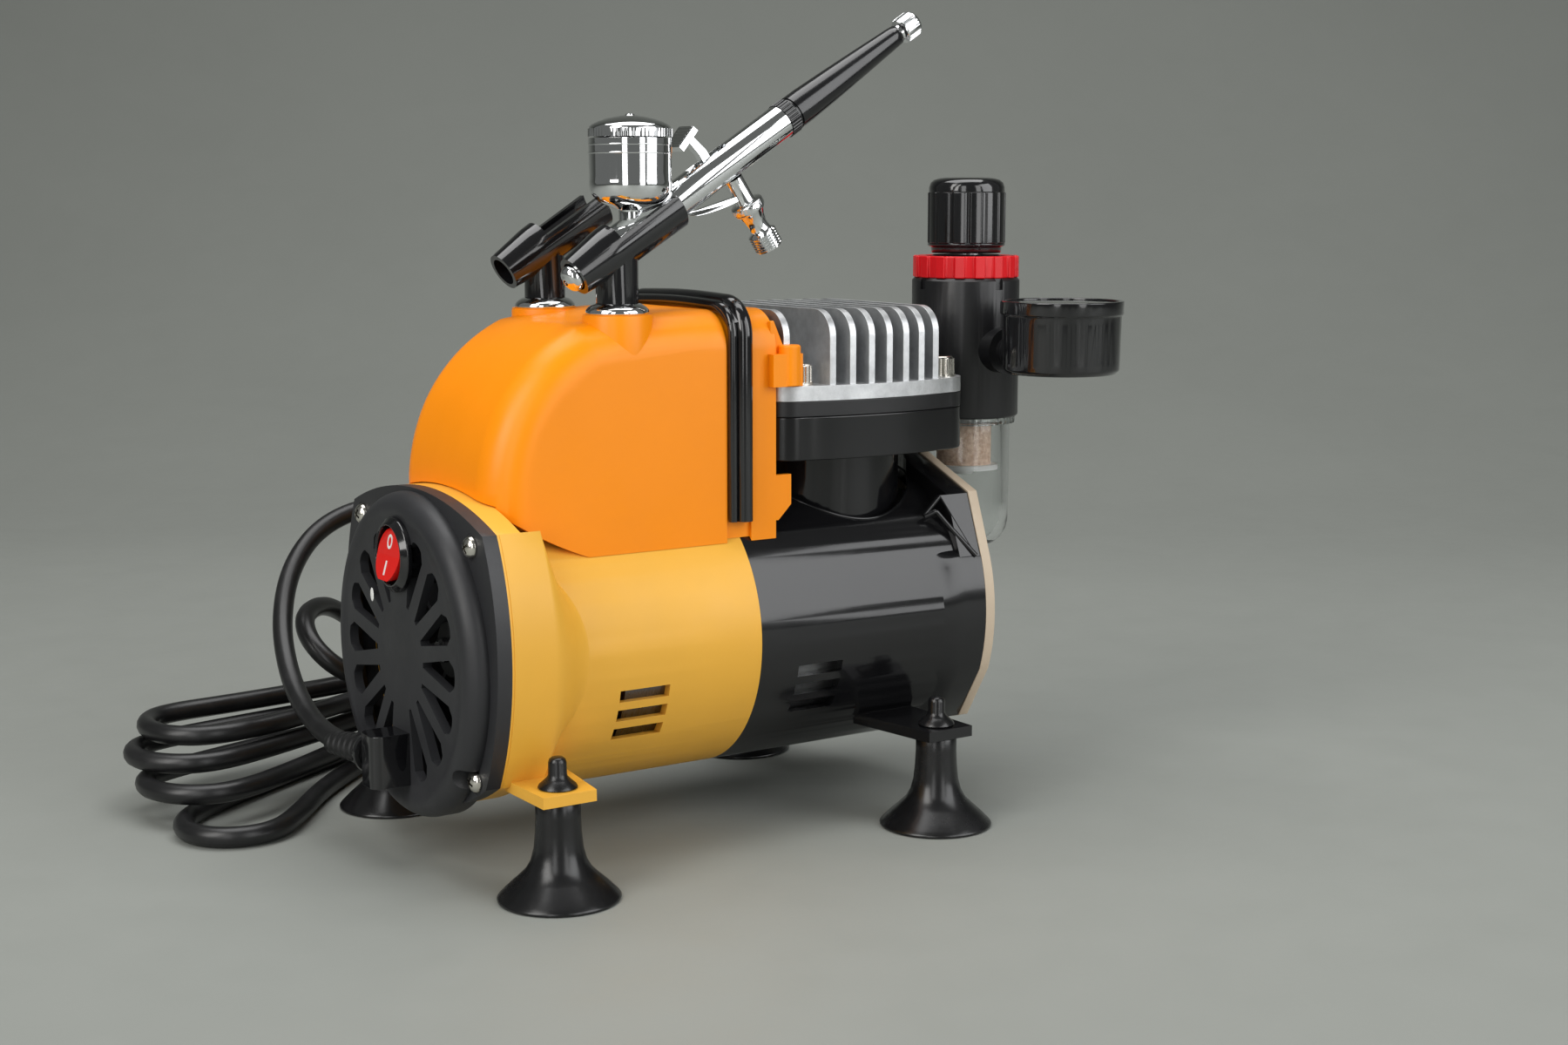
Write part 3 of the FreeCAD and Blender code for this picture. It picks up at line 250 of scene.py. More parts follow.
def winding():
    """Varnished wire, with the turns standing as fine ridges round the motor's axis."""
    n = Nodes("winding")
    turns = n.add("ShaderNodeTexWave", wave_type="BANDS", bands_direction="X")
    turns.inputs["Scale"].default_value = 260
    turns.inputs["Distortion"].default_value = 1.2
    n.join(n.place, "Object", turns, "Vector")
    n.vary_colour(n.noise(120, 3), (0.28, 0.09, 0.03), (0.55, 0.22, 0.08))
    n.set(Roughness=0.3, Metallic=0.6)
    n.bump(turns, 0.7, 0.0004)
    return n.material


def turned_steel(name, colour=(0.5, 0.5, 0.51)):
    n = Nodes(name)
    n.set(Metallic=1.0)
    lines = n.noise(300, 3, 0.6, stretch=(9, 1, 1))
    n.vary_colour(lines, shade(colour, 0.85), colour)
    n.vary_roughness(lines, 0.22, 0.42)
    n.bump(lines, 0.15, 0.00003)
    return n.material


def build_materials():
    """Every finish of the compressor by name."""
    s = finish_settings()
    return {
        "grille": moulded("charcoal_grille", (0.022, 0.0225, 0.025), 0.46, 1500, 0.00006, 0.14),
        "gloss_black": moulded("gloss_black", (0.0065, 0.0065, 0.0075), 0.13, 260, 0.00003, 0.1, 0.6),
        "enamel": moulded("black_enamel", (0.0055, 0.0055, 0.0062), 0.16, 110, 0.00012, 0.1, 0.25, 1.45),
        "satin_black": moulded("satin_black", (0.010, 0.010, 0.011), 0.34, 700, 0.00005, 0.12),
        "yellow": moulded("yellow_shell", tuple(s.shell_colour), 0.4, 520, 0.00006, 0.03, ior=1.4),
        "orange": moulded("orange_cover", tuple(s.cover_colour), 0.36, 360, 0.00005, 0.02, ior=1.36),
        "red_gloss": moulded("red_rocker", tuple(s.switch_colour), 0.12, 200, 0.00002, 0.04, 0.7),
        "red_ring": moulded("red_ring", tuple(s.lock_ring_colour), 0.3, 600, 0.00004, 0.06),
        "cream": moulded("pale_edge", (0.52, 0.42, 0.31), 0.5, 900, 0.00006, 0.08),
        "white": moulded("white_print", (0.82, 0.82, 0.8), 0.4, 900, 0.00002, 0.02),
        "fan": moulded("fan_grey", (0.05, 0.05, 0.055), 0.4, 700, 0.00003, 0.1),
        "chrome": plated("chrome", (0.86, 0.87, 0.88), 0.045),
        "nickel": plated("nickel", (0.72, 0.69, 0.63), 0.16, 0.00003),
        "steel": turned_steel("turned_steel"),
        "dark_steel": turned_steel("black_oxide", (0.16, 0.16, 0.17)),
        "anodised": moulded("black_anodised", (0.006, 0.006, 0.007), 0.2, 900, 0.00002, 0.1, 0.3),
        "aluminium": cast_aluminium(),
        "rubber": rubber("suction_rubber", (0.006, 0.006, 0.0065), 0.22),
        "cord": rubber("cord_sheath", (0.009, 0.009, 0.0095), 0.3, 1400),
        "clear": clear_plastic("clear_bowl", (0.95, 0.965, 0.96), 0.04),
        "bronze": sintered_bronze(),
        "winding": winding(),
    }


FINISHES = {}


def finish_of(name):
    if not FINISHES:
        FINISHES.update(build_materials())
    return FINISHES[name]


# ------------------------------------------------------------------ mesh helpers
def linked(name, data):
    """A new object in the scene."""
    item = bpy.data.objects.new(name, data)
    bpy.context.scene.collection.objects.link(item)
    return item


def baked(item):
    """The mesh that an object shows, in exchange for the object."""
    view = bpy.context.evaluated_depsgraph_get()
    mesh = bpy.data.meshes.new_from_object(item.evaluated_get(view))
    bpy.data.objects.remove(item)
    return mesh


def paint(mesh, finish):
    mesh.materials.clear()
    mesh.materials.append(finish_of(finish))


def add_piece(name, body, mesh, finish, stands_for=()):
    """Link a finished mesh as a piece that rides on a body."""
    piece = linked(name, mesh)
    if finish:
        paint(mesh, finish)
    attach(piece, body)
    if stands_for:
        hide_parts(*stands_for)
    return piece


def to_mesh(bm, name, smooth_below=40.0):
    """Write a bmesh with smooth faces and sharp edges above an angle."""
    mesh = bpy.data.meshes.new(name)
    bm.to_mesh(mesh)
    bm.free()
    mesh.shade_smooth()
    mesh.set_sharp_from_angle(angle=math.radians(smooth_below))
    return mesh


def round_edges(piece, width, segments=2, above=32.0):
    """Bevel every sharp edge and keep the flats flat."""
    bevel = piece.modifiers.new("rounded_edges", "BEVEL")
    bevel.width = width
    bevel.segments = segments
    bevel.limit_method = "ANGLE"
    bevel.angle_limit = math.radians(above)
    bevel.harden_normals = True
    bevel.profile = 0.5


def moulded_copy(node, body, finish, width, above=32.0, segments=2):
    """A CAD part's own shape, merged, with its edges rounded as the mould leaves them."""
    bm = bmesh.new()
    bm.from_mesh(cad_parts[node].data)
    bmesh.ops.remove_doubles(bm, verts=bm.verts, dist=1e-6)
    bmesh.ops.dissolve_limit(bm, angle_limit=math.radians(0.4), verts=bm.verts, edges=bm.edges)
    piece = add_piece(node + "_finished", body, to_mesh(bm, node), finish, (node,))
    round_edges(piece, width, segments, above)
    return piece


def paint_node(node, finish):
    """Give a CAD part its material without touching its mesh."""
    paint(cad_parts[node].data, finish)


def aimed(centre, along):
    """The move that carries the upright at the origin to a direction at a centre."""
    turn = Vector((0, 0, 1)).rotation_difference(Vector(along)).to_matrix().to_4x4()
    return Matrix.Translation(Vector(centre)) @ turn


def raised(bm, faces, shift):
    """Extrude faces by a shift in millimetres into a closed solid."""
    grown = bmesh.ops.extrude_face_region(bm, geom=faces)
    moved = [item for item in grown["geom"] if isinstance(item, bmesh.types.BMVert)]
    bmesh.ops.translate(bm, verts=moved, vec=Vector(shift) * MM)
    bmesh.ops.recalc_face_normals(bm, faces=bm.faces)


def spun(points, steps=64, centre=(0, 0, 0), along=(0, 0, 1)):
    """Turn an outline of (radius, height) in millimetres into a closed bmesh."""
    bm = bmesh.new()
    verts = [bm.verts.new((r * MM, 0, h * MM)) for r, h in points]
    edges = [bm.edges.new(pair) for pair in zip(verts, verts[1:])]
    bmesh.ops.spin(bm, geom=verts + edges, cent=(0, 0, 0), axis=(0, 0, 1), angle=2 * math.pi,
                   steps=steps, use_merge=True)
    bmesh.ops.remove_doubles(bm, verts=bm.verts, dist=1e-6)
    bmesh.ops.recalc_face_normals(bm, faces=bm.faces)
    bmesh.ops.transform(bm, matrix=aimed(centre, along), verts=bm.verts)
    return bm


def toothed(teeth, root, tip, low, high, centre, along, steps=4, cut=2):
    """A ring with grooves all round, such as a knurl; a groove takes cut of each tooth's steps."""
    bm = bmesh.new()
    made = bmesh.ops.create_circle(bm, cap_ends=True, segments=teeth * steps, radius=tip * MM)
    for vert in made["verts"]:
        angle = math.atan2(vert.co.y, vert.co.x) % (2 * math.pi)
        step = int(round(angle / (2 * math.pi) * teeth * steps))
        if step % steps < cut:
            vert.co *= root / tip
    raised(bm, bm.faces[:], (0, 0, high - low))
    bmesh.ops.translate(bm, verts=bm.verts, vec=(0, 0, low * MM))
    bmesh.ops.transform(bm, matrix=aimed(centre, along), verts=bm.verts)
    return bm


def block(size, centre, turn=None):
    """A box of the given size in millimetres."""
    bm = bmesh.new()
    bmesh.ops.create_cube(bm, size=1.0)
    bmesh.ops.scale(bm, vec=Vector(size) * MM, verts=bm.verts)
    if turn:
        bmesh.ops.transform(bm, matrix=turn, verts=bm.verts)
    bmesh.ops.translate(bm, verts=bm.verts, vec=centre)
    return bm


def bevel_edges(bm, edges, width, segments):
    bmesh.ops.bevel(bm, geom=edges, offset=width * MM, affect="EDGES", segments=segments,
                    profile=0.5, material=-1)


def hexagon(radius, depth, centre, along=(0, 0, 1)):
    """A six-sided bar about its centre."""
    bm = bmesh.new()
    bmesh.ops.create_cone(bm, cap_ends=True, segments=6, radius1=radius * MM, radius2=radius * MM,
                          depth=depth * MM)
    bmesh.ops.transform(bm, matrix=aimed(centre, along), verts=bm.verts)
    return bm


def joined(parts):
    """Put several bmeshes into one."""
    whole = bmesh.new()
    for part in parts:
        step = bpy.data.meshes.new("step")
        part.to_mesh(step)
        part.free()
        whole.from_mesh(step)
        bpy.data.meshes.remove(step)
    return whole


def carved(mesh, tool):
    """Take a tool's volume out of a mesh."""
    base = linked("base", mesh)
    cutter_mesh = bpy.data.meshes.new("cutter")
    tool.to_mesh(cutter_mesh)
    tool.free()
    cutter = linked("cutter", cutter_mesh)
    cut = base.modifiers.new("cut", "BOOLEAN")
    cut.operation = "DIFFERENCE"
    cut.solver = "EXACT"
    cut.use_self = True
    cut.object = cutter
    result = baked(base)
    bpy.data.objects.remove(cutter)
    result.shade_smooth()
    result.set_sharp_from_angle(angle=math.radians(35))
    return result


def round_bar(points, radius, name, cyclic=False, order=3, resolution=8):
    """A curve object with a round section, closed at its ends."""
    curve = bpy.data.curves.new(name, "CURVE")
    curve.dimensions = "3D"
    spline = curve.splines.new("NURBS")
    spline.points.add(len(points) - 1)
    for point, place in zip(spline.points, points):
        point.co = (*place, 1)
    spline.order_u = order
    spline.use_endpoint_u = not cyclic
    spline.use_cyclic_u = cyclic
    spline.resolution_u = resolution
    curve.bevel_depth = radius * MM
    curve.bevel_resolution = 5
    curve.use_fill_caps = True
    return linked(name, curve)


def tube_mesh(*bar, **settings):
    """The mesh of a round bar."""
    mesh = baked(round_bar(*bar, **settings))
    mesh.shade_smooth()
    return mesh


# ------------------------------------------------------------------ camera, floor and light
CAMERA_PLACE = (-0.38935, -0.6303, 0.2120)
CAMERA_AZIMUTH = math.radians(33.58)
CAMERA_DROP = math.radians(8.61)


class COMPRESSOR_OT_stage(Operator):
    """Camera, pale floor with a curved backdrop, and soft studio lights"""

    bl_idname = "compressor.stage"
    bl_label = "Stage"

    def execute(self, context):
        self.camera(context)
        self.floor()
        self.lights(context)
        return {"FINISHED"}

    def camera(self, context):
        data = bpy.data.cameras.new("camera")
        data.lens = 50
        data.sensor_width = 36
        data.clip_start = 0.02
        camera = linked("camera", data)
        camera.location = CAMERA_PLACE
        camera.rotation_euler = (math.pi / 2 - CAMERA_DROP, 0, -CAMERA_AZIMUTH)
        context.scene.camera = camera

    def floor(self):
        """A sheet of paper that lies flat and curves up into a wall beyond the object."""
        away = Vector((math.sin(CAMERA_AZIMUTH), math.cos(CAMERA_AZIMUTH), 0))
        across = Vector((away.y, -away.x, 0))
        bend_start, bend = 0.62, 1.2
        profile = [(-3.0, 0.0), (bend_start, 0.0)]
        for step in range(1, 25):
            turn = math.radians(90 * step / 24)
            profile.append((bend_start + bend * math.sin(turn), bend * (1 - math.cos(turn))))
        profile.append((bend_start + bend, 3.5))
        bm = bmesh.new()
        rows = [[bm.verts.new(away * reach + across * side + Vector((0, 0, rise))) for side in (-4, 4)]
                for reach, rise in profile]
        for near, far in zip(rows, rows[1:]):
            bm.faces.new((near[0], near[1], far[1], far[0]))
        bmesh.ops.recalc_face_normals(bm, faces=bm.faces)
        mesh = to_mesh(bm, "floor", 60)
        ground = linked("floor", mesh)
        n = Nodes("floor_paper")
        colour = tuple(finish_settings().floor_colour)
        n.vary_colour(n.noise(3, 3), shade(colour, 0.98), shade(colour, 1.02))
        n.vary_roughness(n.noise(40, 4), 0.55, 0.68)
        n.bump(n.noise(500, 3), 0.1, 0.00005)
        mesh.materials.append(n.material)

    def lights(self, context):
        """Large soft boxes in a dim room, so that plated parts mirror light and dark bands."""
        context.scene.view_settings.view_transform = "Standard"
        world = bpy.data.worlds.new("studio")
        world.use_nodes = True
        world.node_tree.nodes["Background"].inputs["Color"].default_value = (0.60, 0.62, 0.60, 1)
        world.node_tree.nodes["Background"].inputs["Strength"].default_value = 0.22
        context.scene.world = world
        rig = (
            ("key_box", (-1.35, -0.35, 0.95), (0.7, 1.3), 15.5, (1.0, 0.985, 0.96)),
            ("fill_box", (0.75, -1.25, 0.75), (0.9, 1.3), 12.5, (0.98, 0.99, 1.0)),
            ("left_strip", (-1.0, -1.0, 0.55), (0.34, 1.1), 3.2, (1.0, 1.0, 1.0)),
            ("right_strip", (0.05, -1.35, 0.55), (0.34, 1.1), 3.2, (1.0, 1.0, 1.0)),
            ("top_box", (0.05, 0.15, 1.35), (1.3, 0.9), 13.0, (1.0, 1.0, 1.0)),
        )
        aim = Vector((0.0, 0.0, 0.1))
        for name, place, size, power, colour in rig:
            data = bpy.data.lights.new(name, "AREA")
            data.shape = "RECTANGLE"
            data.size, data.size_y = size
            data.energy = power
            data.color = colour
            lamp = linked(name, data)
            lamp.location = place
            lamp.rotation_mode = "QUATERNION"
            lamp.rotation_quaternion = (aim - Vector(place)).to_track_quat("-Z", "Y")


# ------------------------------------------------------------------ mains cord
# The cord stands in a loop beside the grille and drops to the hank through a second, smaller loop.
STANDING_LOOPS = (
    (-103, 9, 35.5), (-105, 31, 33.5), (-105, 55, 37.5), (-103, 77, 47), (-98, 97, 62), (-88, 112, 79),
    (-72, 121, 92), (-50, 122, 98), (-28, 118, 93), (-8, 116, 79), (4, 121, 63), (0, 133, 49),
    (-17, 136, 41), (-36, 127, 37.5), (-51, 112, 37), (-65, 98, 37), (-78, 95, 43), (-85, 103, 52),
    (-83, 115, 59.5), (-71, 128, 61), (-58, 139, 55), (-45, 146, 44),
)
# Each turn of the hank has its own loose near end and runs round the same far end, on its way down.
TURN_HEIGHTS = (34.7, 27.1, 19.5, 11.8)
NEAR_ENDS = (
    (),
    ((-97, 94), (-127, 87), (-141, 97), (-143, 115), (-133, 129), (-102, 131), (-50, 139)),
    ((-101, 92), (-130, 80), (-145, 88), (-151, 104), (-143, 120), (-113, 127), (-50, 138)),
    ((-100, 83), (-127, 67), (-143, 72), (-151, 88), (-146, 104), (-117, 116), (-50, 138)),
)
FAR_END = ((-30, 149, 0), (0, 152, 0), (12, 139, 0.4), (12, 121, 0), (0, 108, -3), (-30, 111, -5.4),
           (-52, 118, -7.4))
# The last turn lies on the floor and ends in the plug.
FLOOR_TURN = (
    (-72, 101, 3.6), (-92, 80, 3.6), (-108, 58, 3.6), (-122, 42, 3.6), (-138, 42, 3.6), (-148, 55, 3.6),
    (-144, 73, 3.6), (-120, 92, 3.6), (-68, 124, 3.6), (-44, 140, 3.6), (-20, 141, 3.6), (0, 136, 3.6),
    (9, 133, 3.8), (19.5, 132, 6.2),
)


def cord_route():
    """Every control point of the cord, from the gland to the plug."""
    route = list(STANDING_LOOPS)
    for height, near_end in zip(TURN_HEIGHTS, NEAR_ENDS):
        route += [(x, y, height - 0.1) for x, y in near_end]
        route += [(x, y, height + drop) for x, y, drop in FAR_END]
    return route + list(FLOOR_TURN)


class COMPRESSOR_OT_cord(Operator):
    """Mains cord from the gland through a standing loop and a loose tied hank to its plug"""

    bl_idname = "compressor.cord"
    bl_label = "Mains cord"

    def execute(self, context):
        diameter = finish_settings().cord_diameter
        route = [at(*place) for place in cord_route()]
        cord = round_bar(route, diameter / 2 / MM, "mains_cord")
        cord.data.materials.append(finish_of("cord"))
        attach(cord, "compressor")
        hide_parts("power_cord", "cord_hank")
        relief = self.strain_relief()
        plug = self.plug()
        tie = self.tie()
        return {"FINISHED"}

    def strain_relief(self):
        """A tapered sleeve with rings where the cord leaves the gland."""
        outline = [(3.6, 0), (5.1, 0), (5.1, 2.5)]
        for step in range(5):
            low = 3.0 + step * 4.2
            wide = 5.0 - step * 0.26
            outline += [(wide - 0.55, low), (wide - 0.6, low + 1.2), (wide, low + 1.6),
                        (wide - 0.08, low + 4.0)]
        outline += [(3.62, 24.4)]
        start, aim = at(-103, 8.2, 35.6), (-0.09, 1, -0.09)
        bm = spun(outline, 40, start, Vector(aim).normalized())
        return add_piece("strain_relief", "compressor", to_mesh(bm, "strain_relief"), "cord")

    def plug(self):
        """A flat moulded two-pin plug with a ribbed neck."""
        start = at(18.9, 132, 6.4)
        body = block((25, 23, 11.4), start + Vector((24, 0, 0)) * MM)
        side = [edge for edge in body.edges if abs(edge.verts[0].co.x - edge.verts[1].co.x) > 1e-4]
        bevel_edges(body, side, 4.5, 5)
        ends = [edge for edge in body.edges if len(edge.link_faces) == 2 and edge.calc_face_angle(0) > 0.8]
        bevel_edges(body, ends, 1.2, 3)
        neck = [(3.6, 0), (4.4, 0)]
        for step in range(4):
            neck += [(4.7 + step * 0.25, 0.6 + step * 3), (4.9 + step * 0.25, 2.4 + step * 3),
                     (4.2 + step * 0.25, 2.6 + step * 3), (4.2 + step * 0.25, 3.4 + step * 3)]
        neck += [(5.3, 14), (0, 14)]
        parts = [body, spun(neck, 32, start, (1, 0, 0))]
        plug = add_piece("plug_finished", "compressor", to_mesh(joined(parts), "plug"), "satin_black",
                         ("plug",))
        pins = [spun([(0, 0), (2.0, 0), (2.0, 17), (1.2, 18.4), (0, 18.6)], 24,
                     start + Vector((35.4, side_y, 0)) * MM, (1, 0, 0)) for side_y in (-9, 9)]
        add_piece("plug_pins", "compressor", to_mesh(joined(pins), "pins"), "nickel")
        return plug

    def tie(self):
        """A twisted wire tie round the hank, its two ends standing up."""
        middle, half_wide, half_high = (-49, 130, 21.6), 19.5, 19.8
        ring = []
        for step in range(12):
            angle = math.radians(30 * step)
            ring.append(at(middle[0], middle[1] + half_wide * math.cos(angle),
                           middle[2] + half_high * math.sin(angle)))
        loop = bmesh.new()
        loop.from_mesh(tube_mesh(ring, 0.75, "tie_loop", cyclic=True))
        knot = at(-49, 130, 40.6)
        ends = [[knot, at(-52, 127, 46), at(-58, 125, 51), at(-66, 118, 57)],
                [knot, at(-47, 126, 46), at(-52, 119, 50), at(-63, 112, 56)]]
        for end in ends:
            loop.from_mesh(tube_mesh(end, 0.8, "tie_end"))
        return add_piece("cord_tie_finished", "compressor", to_mesh(loop, "tie"), "gloss_black",
                         ("cord_tie",))


# ------------------------------------------------------------------ grille and switch
GRILLE_FACE = -95
ROCKER_HEIGHT = 99.5


def screw_place(side, rise):
    return at(-88.8, side * 41.2, AXIS_HEIGHT + rise)


class COMPRESSOR_OT_grille(Operator):
    """Grille cover with its slots, the four cross-head screws and a small white oval"""

    bl_idname = "compressor.grille"
    bl_label = "Grille"

    def execute(self, context):
        moulded_copy("grille_cover", "compressor", "grille", 0.0009, segments=3)
        self.screws()
        # A small raised white oval on the grille face.
        mark = bmesh.new()
        bmesh.ops.create_uvsphere(mark, u_segments=24, v_segments=12, radius=1.0 * MM)
        bmesh.ops.scale(mark, vec=(0.18, 1.3, 2.25), verts=mark.verts)
        bmesh.ops.translate(mark, verts=mark.verts, vec=at(GRILLE_FACE, 21, 83.5))
        add_piece("grille_mark", "compressor", to_mesh(mark, "mark"), "white")
        return {"FINISHED"}

    def screws(self):
        """Pan heads with a washer foot and a cross recess."""
        outline = [(0, -2.55), (1.2, -2.5), (2.3, -2.15), (3.1, -1.4), (3.45, -0.6), (3.5, -0.35),
                   (3.5, 0), (0, 0)]
        heads, tools = [], []
        for number, (side, rise) in enumerate((s, r) for s in SIDES for r in (-32.5, 39.9)):
            centre = screw_place(side, rise)
            heads.append(spun(outline, 36, centre, (1, 0, 0)))
            for quarter in range(2):
                turn = Matrix.Rotation(math.radians(28 + 31 * number + 90 * quarter), 4, "X")
                tools.append(block((3.0, 0.75, 3.9), centre + Vector((-2.2, 0, 0)) * MM, turn))
        solid = to_mesh(joined(heads), "screws")
        for tool in tools:
            solid = carved(solid, tool)
        piece = add_piece("grille_screw_heads", "compressor", solid, "nickel", ("grille_screws",))
        round_edges(piece, 0.00012, 1)


class COMPRESSOR_OT_switch(Operator):
    """Round rocker switch with generic on and off marks, and its bezel"""

    bl_idname = "compressor.switch"
    bl_label = "Switch"

    def execute(self, context):
        moulded_copy("switch_bezel", "compressor", "gloss_black", 0.0005, segments=3)
        moulded_copy("rocker_switch", "rocker", "red_gloss", 0.0008, segments=4, above=20)
        # The upper half runs from (-1.5, 8.4) to (-3, 0), the lower half from there to (-5.2, -7.7).
        self.mark("off_mark", self.ring_mark(), (-2.25, 4.3), math.atan2(1.5, 8.4))
        self.mark("on_mark", block((0.3, 0.95, 4.6), Vector((0, 0, 0))), (-4.1, -3.9), math.atan2(2.2, 7.7))
        return {"FINISHED"}

    def ring_mark(self):
        """A flat ring, taller than it is wide."""
        section = [(1.15, -0.15), (1.75, -0.15), (1.75, 0.15), (1.15, 0.15), (1.15, -0.15)]
        bm = spun(section, 40, (0, 0, 0), (1, 0, 0))
        bmesh.ops.scale(bm, vec=(1, 1, 1.35), verts=bm.verts)
        return bm

    def mark(self, name, bm, place, lean):
        """Lay a raised mark on a face of the rocker."""
        bmesh.ops.transform(bm, matrix=Matrix.Rotation(lean, 4, "Y"), verts=bm.verts)
        x, z = place
        bmesh.ops.translate(bm, verts=bm.verts, vec=at(GRILLE_FACE + x, 0, ROCKER_HEIGHT + z))
        add_piece(name, "rocker", to_mesh(bm, name), "white")


class COMPRESSOR_OT_gland(Operator):
    """Right-angle cord gland in the grille"""

    bl_idname = "compressor.gland"
    bl_label = "Cord gland"

    def execute(self, context):
        moulded_copy("cord_gland", "compressor", "gloss_black", 0.0011, segments=3)
        rib = spun([(5.0, 0), (6.3, 0), (6.6, 0.6), (6.6, 1.8), (6.2, 2.4), (5.0, 2.4)], 40,
                   at(-103, 4.6, 35.5), (0, 1, 0))
        add_piece("gland_collar", "compressor", to_mesh(rib, "collar"), "gloss_black")
        return {"FINISHED"}


# ------------------------------------------------------------------ shells, feet and drive
SHELL_RADIUS = 48.0
SHELL_WALL = 2.6
END_PLATE_NEAR, END_PLATE_FAR = 102.9, 106.7
FOOT_X, FOOT_Y = 71.8, 61.7


def arc_between(start, end, rise, steps):
    """Points of a shallow arc that bulges to the right of its direction by rise."""
    start, end = Vector(start), Vector(end)
    half = (end - start).length / 2
    radius = (half * half + rise * rise) / (2 * rise)
    along = (end - start).normalized()
    outward = Vector((along.y, -along.x))
    centre = (start + end) / 2 - outward * (radius - rise)
    spread = math.asin(half / radius)
    angles = [-spread + 2 * spread * step / steps for step in range(steps + 1)]
    return [centre + outward * radius * math.cos(a) + along * radius * math.sin(a) for a in angles]


def fairing(outline, side, start, ends, name, finish):
    """A skin over an outline of (y, z) about the motor axis that fades into the round shell."""
    bm = bmesh.new()
    steps = 14
    grid = []
    for point, end in zip(outline, ends):
        foot = point.normalized() * (SHELL_RADIUS - 0.25)
        row = []
        for step in range(steps + 1):
            share = step / steps
            ease = share * share * (3 - 2 * share)
            spot = point.lerp(foot, ease)
            x = start[1] + (end - start[1]) * share
            row.append(bm.verts.new(at(x, side * spot.x, AXIS_HEIGHT + spot.y)))
        row.insert(0, bm.verts.new(at(start[0], side * point.x, AXIS_HEIGHT + point.y)))
        grid.append(row)
    for low, high in zip(grid, grid[1:]):
        for quad in zip(low, low[1:], high[1:], high):
            bm.faces.new(quad)
    bmesh.ops.recalc_face_normals(bm, faces=bm.faces)
    middle = at((start[0] + start[1]) / 2, 0, AXIS_HEIGHT)
    if sum((face.calc_center_median() - middle).dot(face.normal) for face in bm.faces) < 0:
        bmesh.ops.reverse_faces(bm, faces=bm.faces)
    bmesh.ops.solidify(bm, geom=bm.faces[:], thickness=0.0008)
    return add_piece(name, "compressor", to_mesh(bm, name, 50), finish)


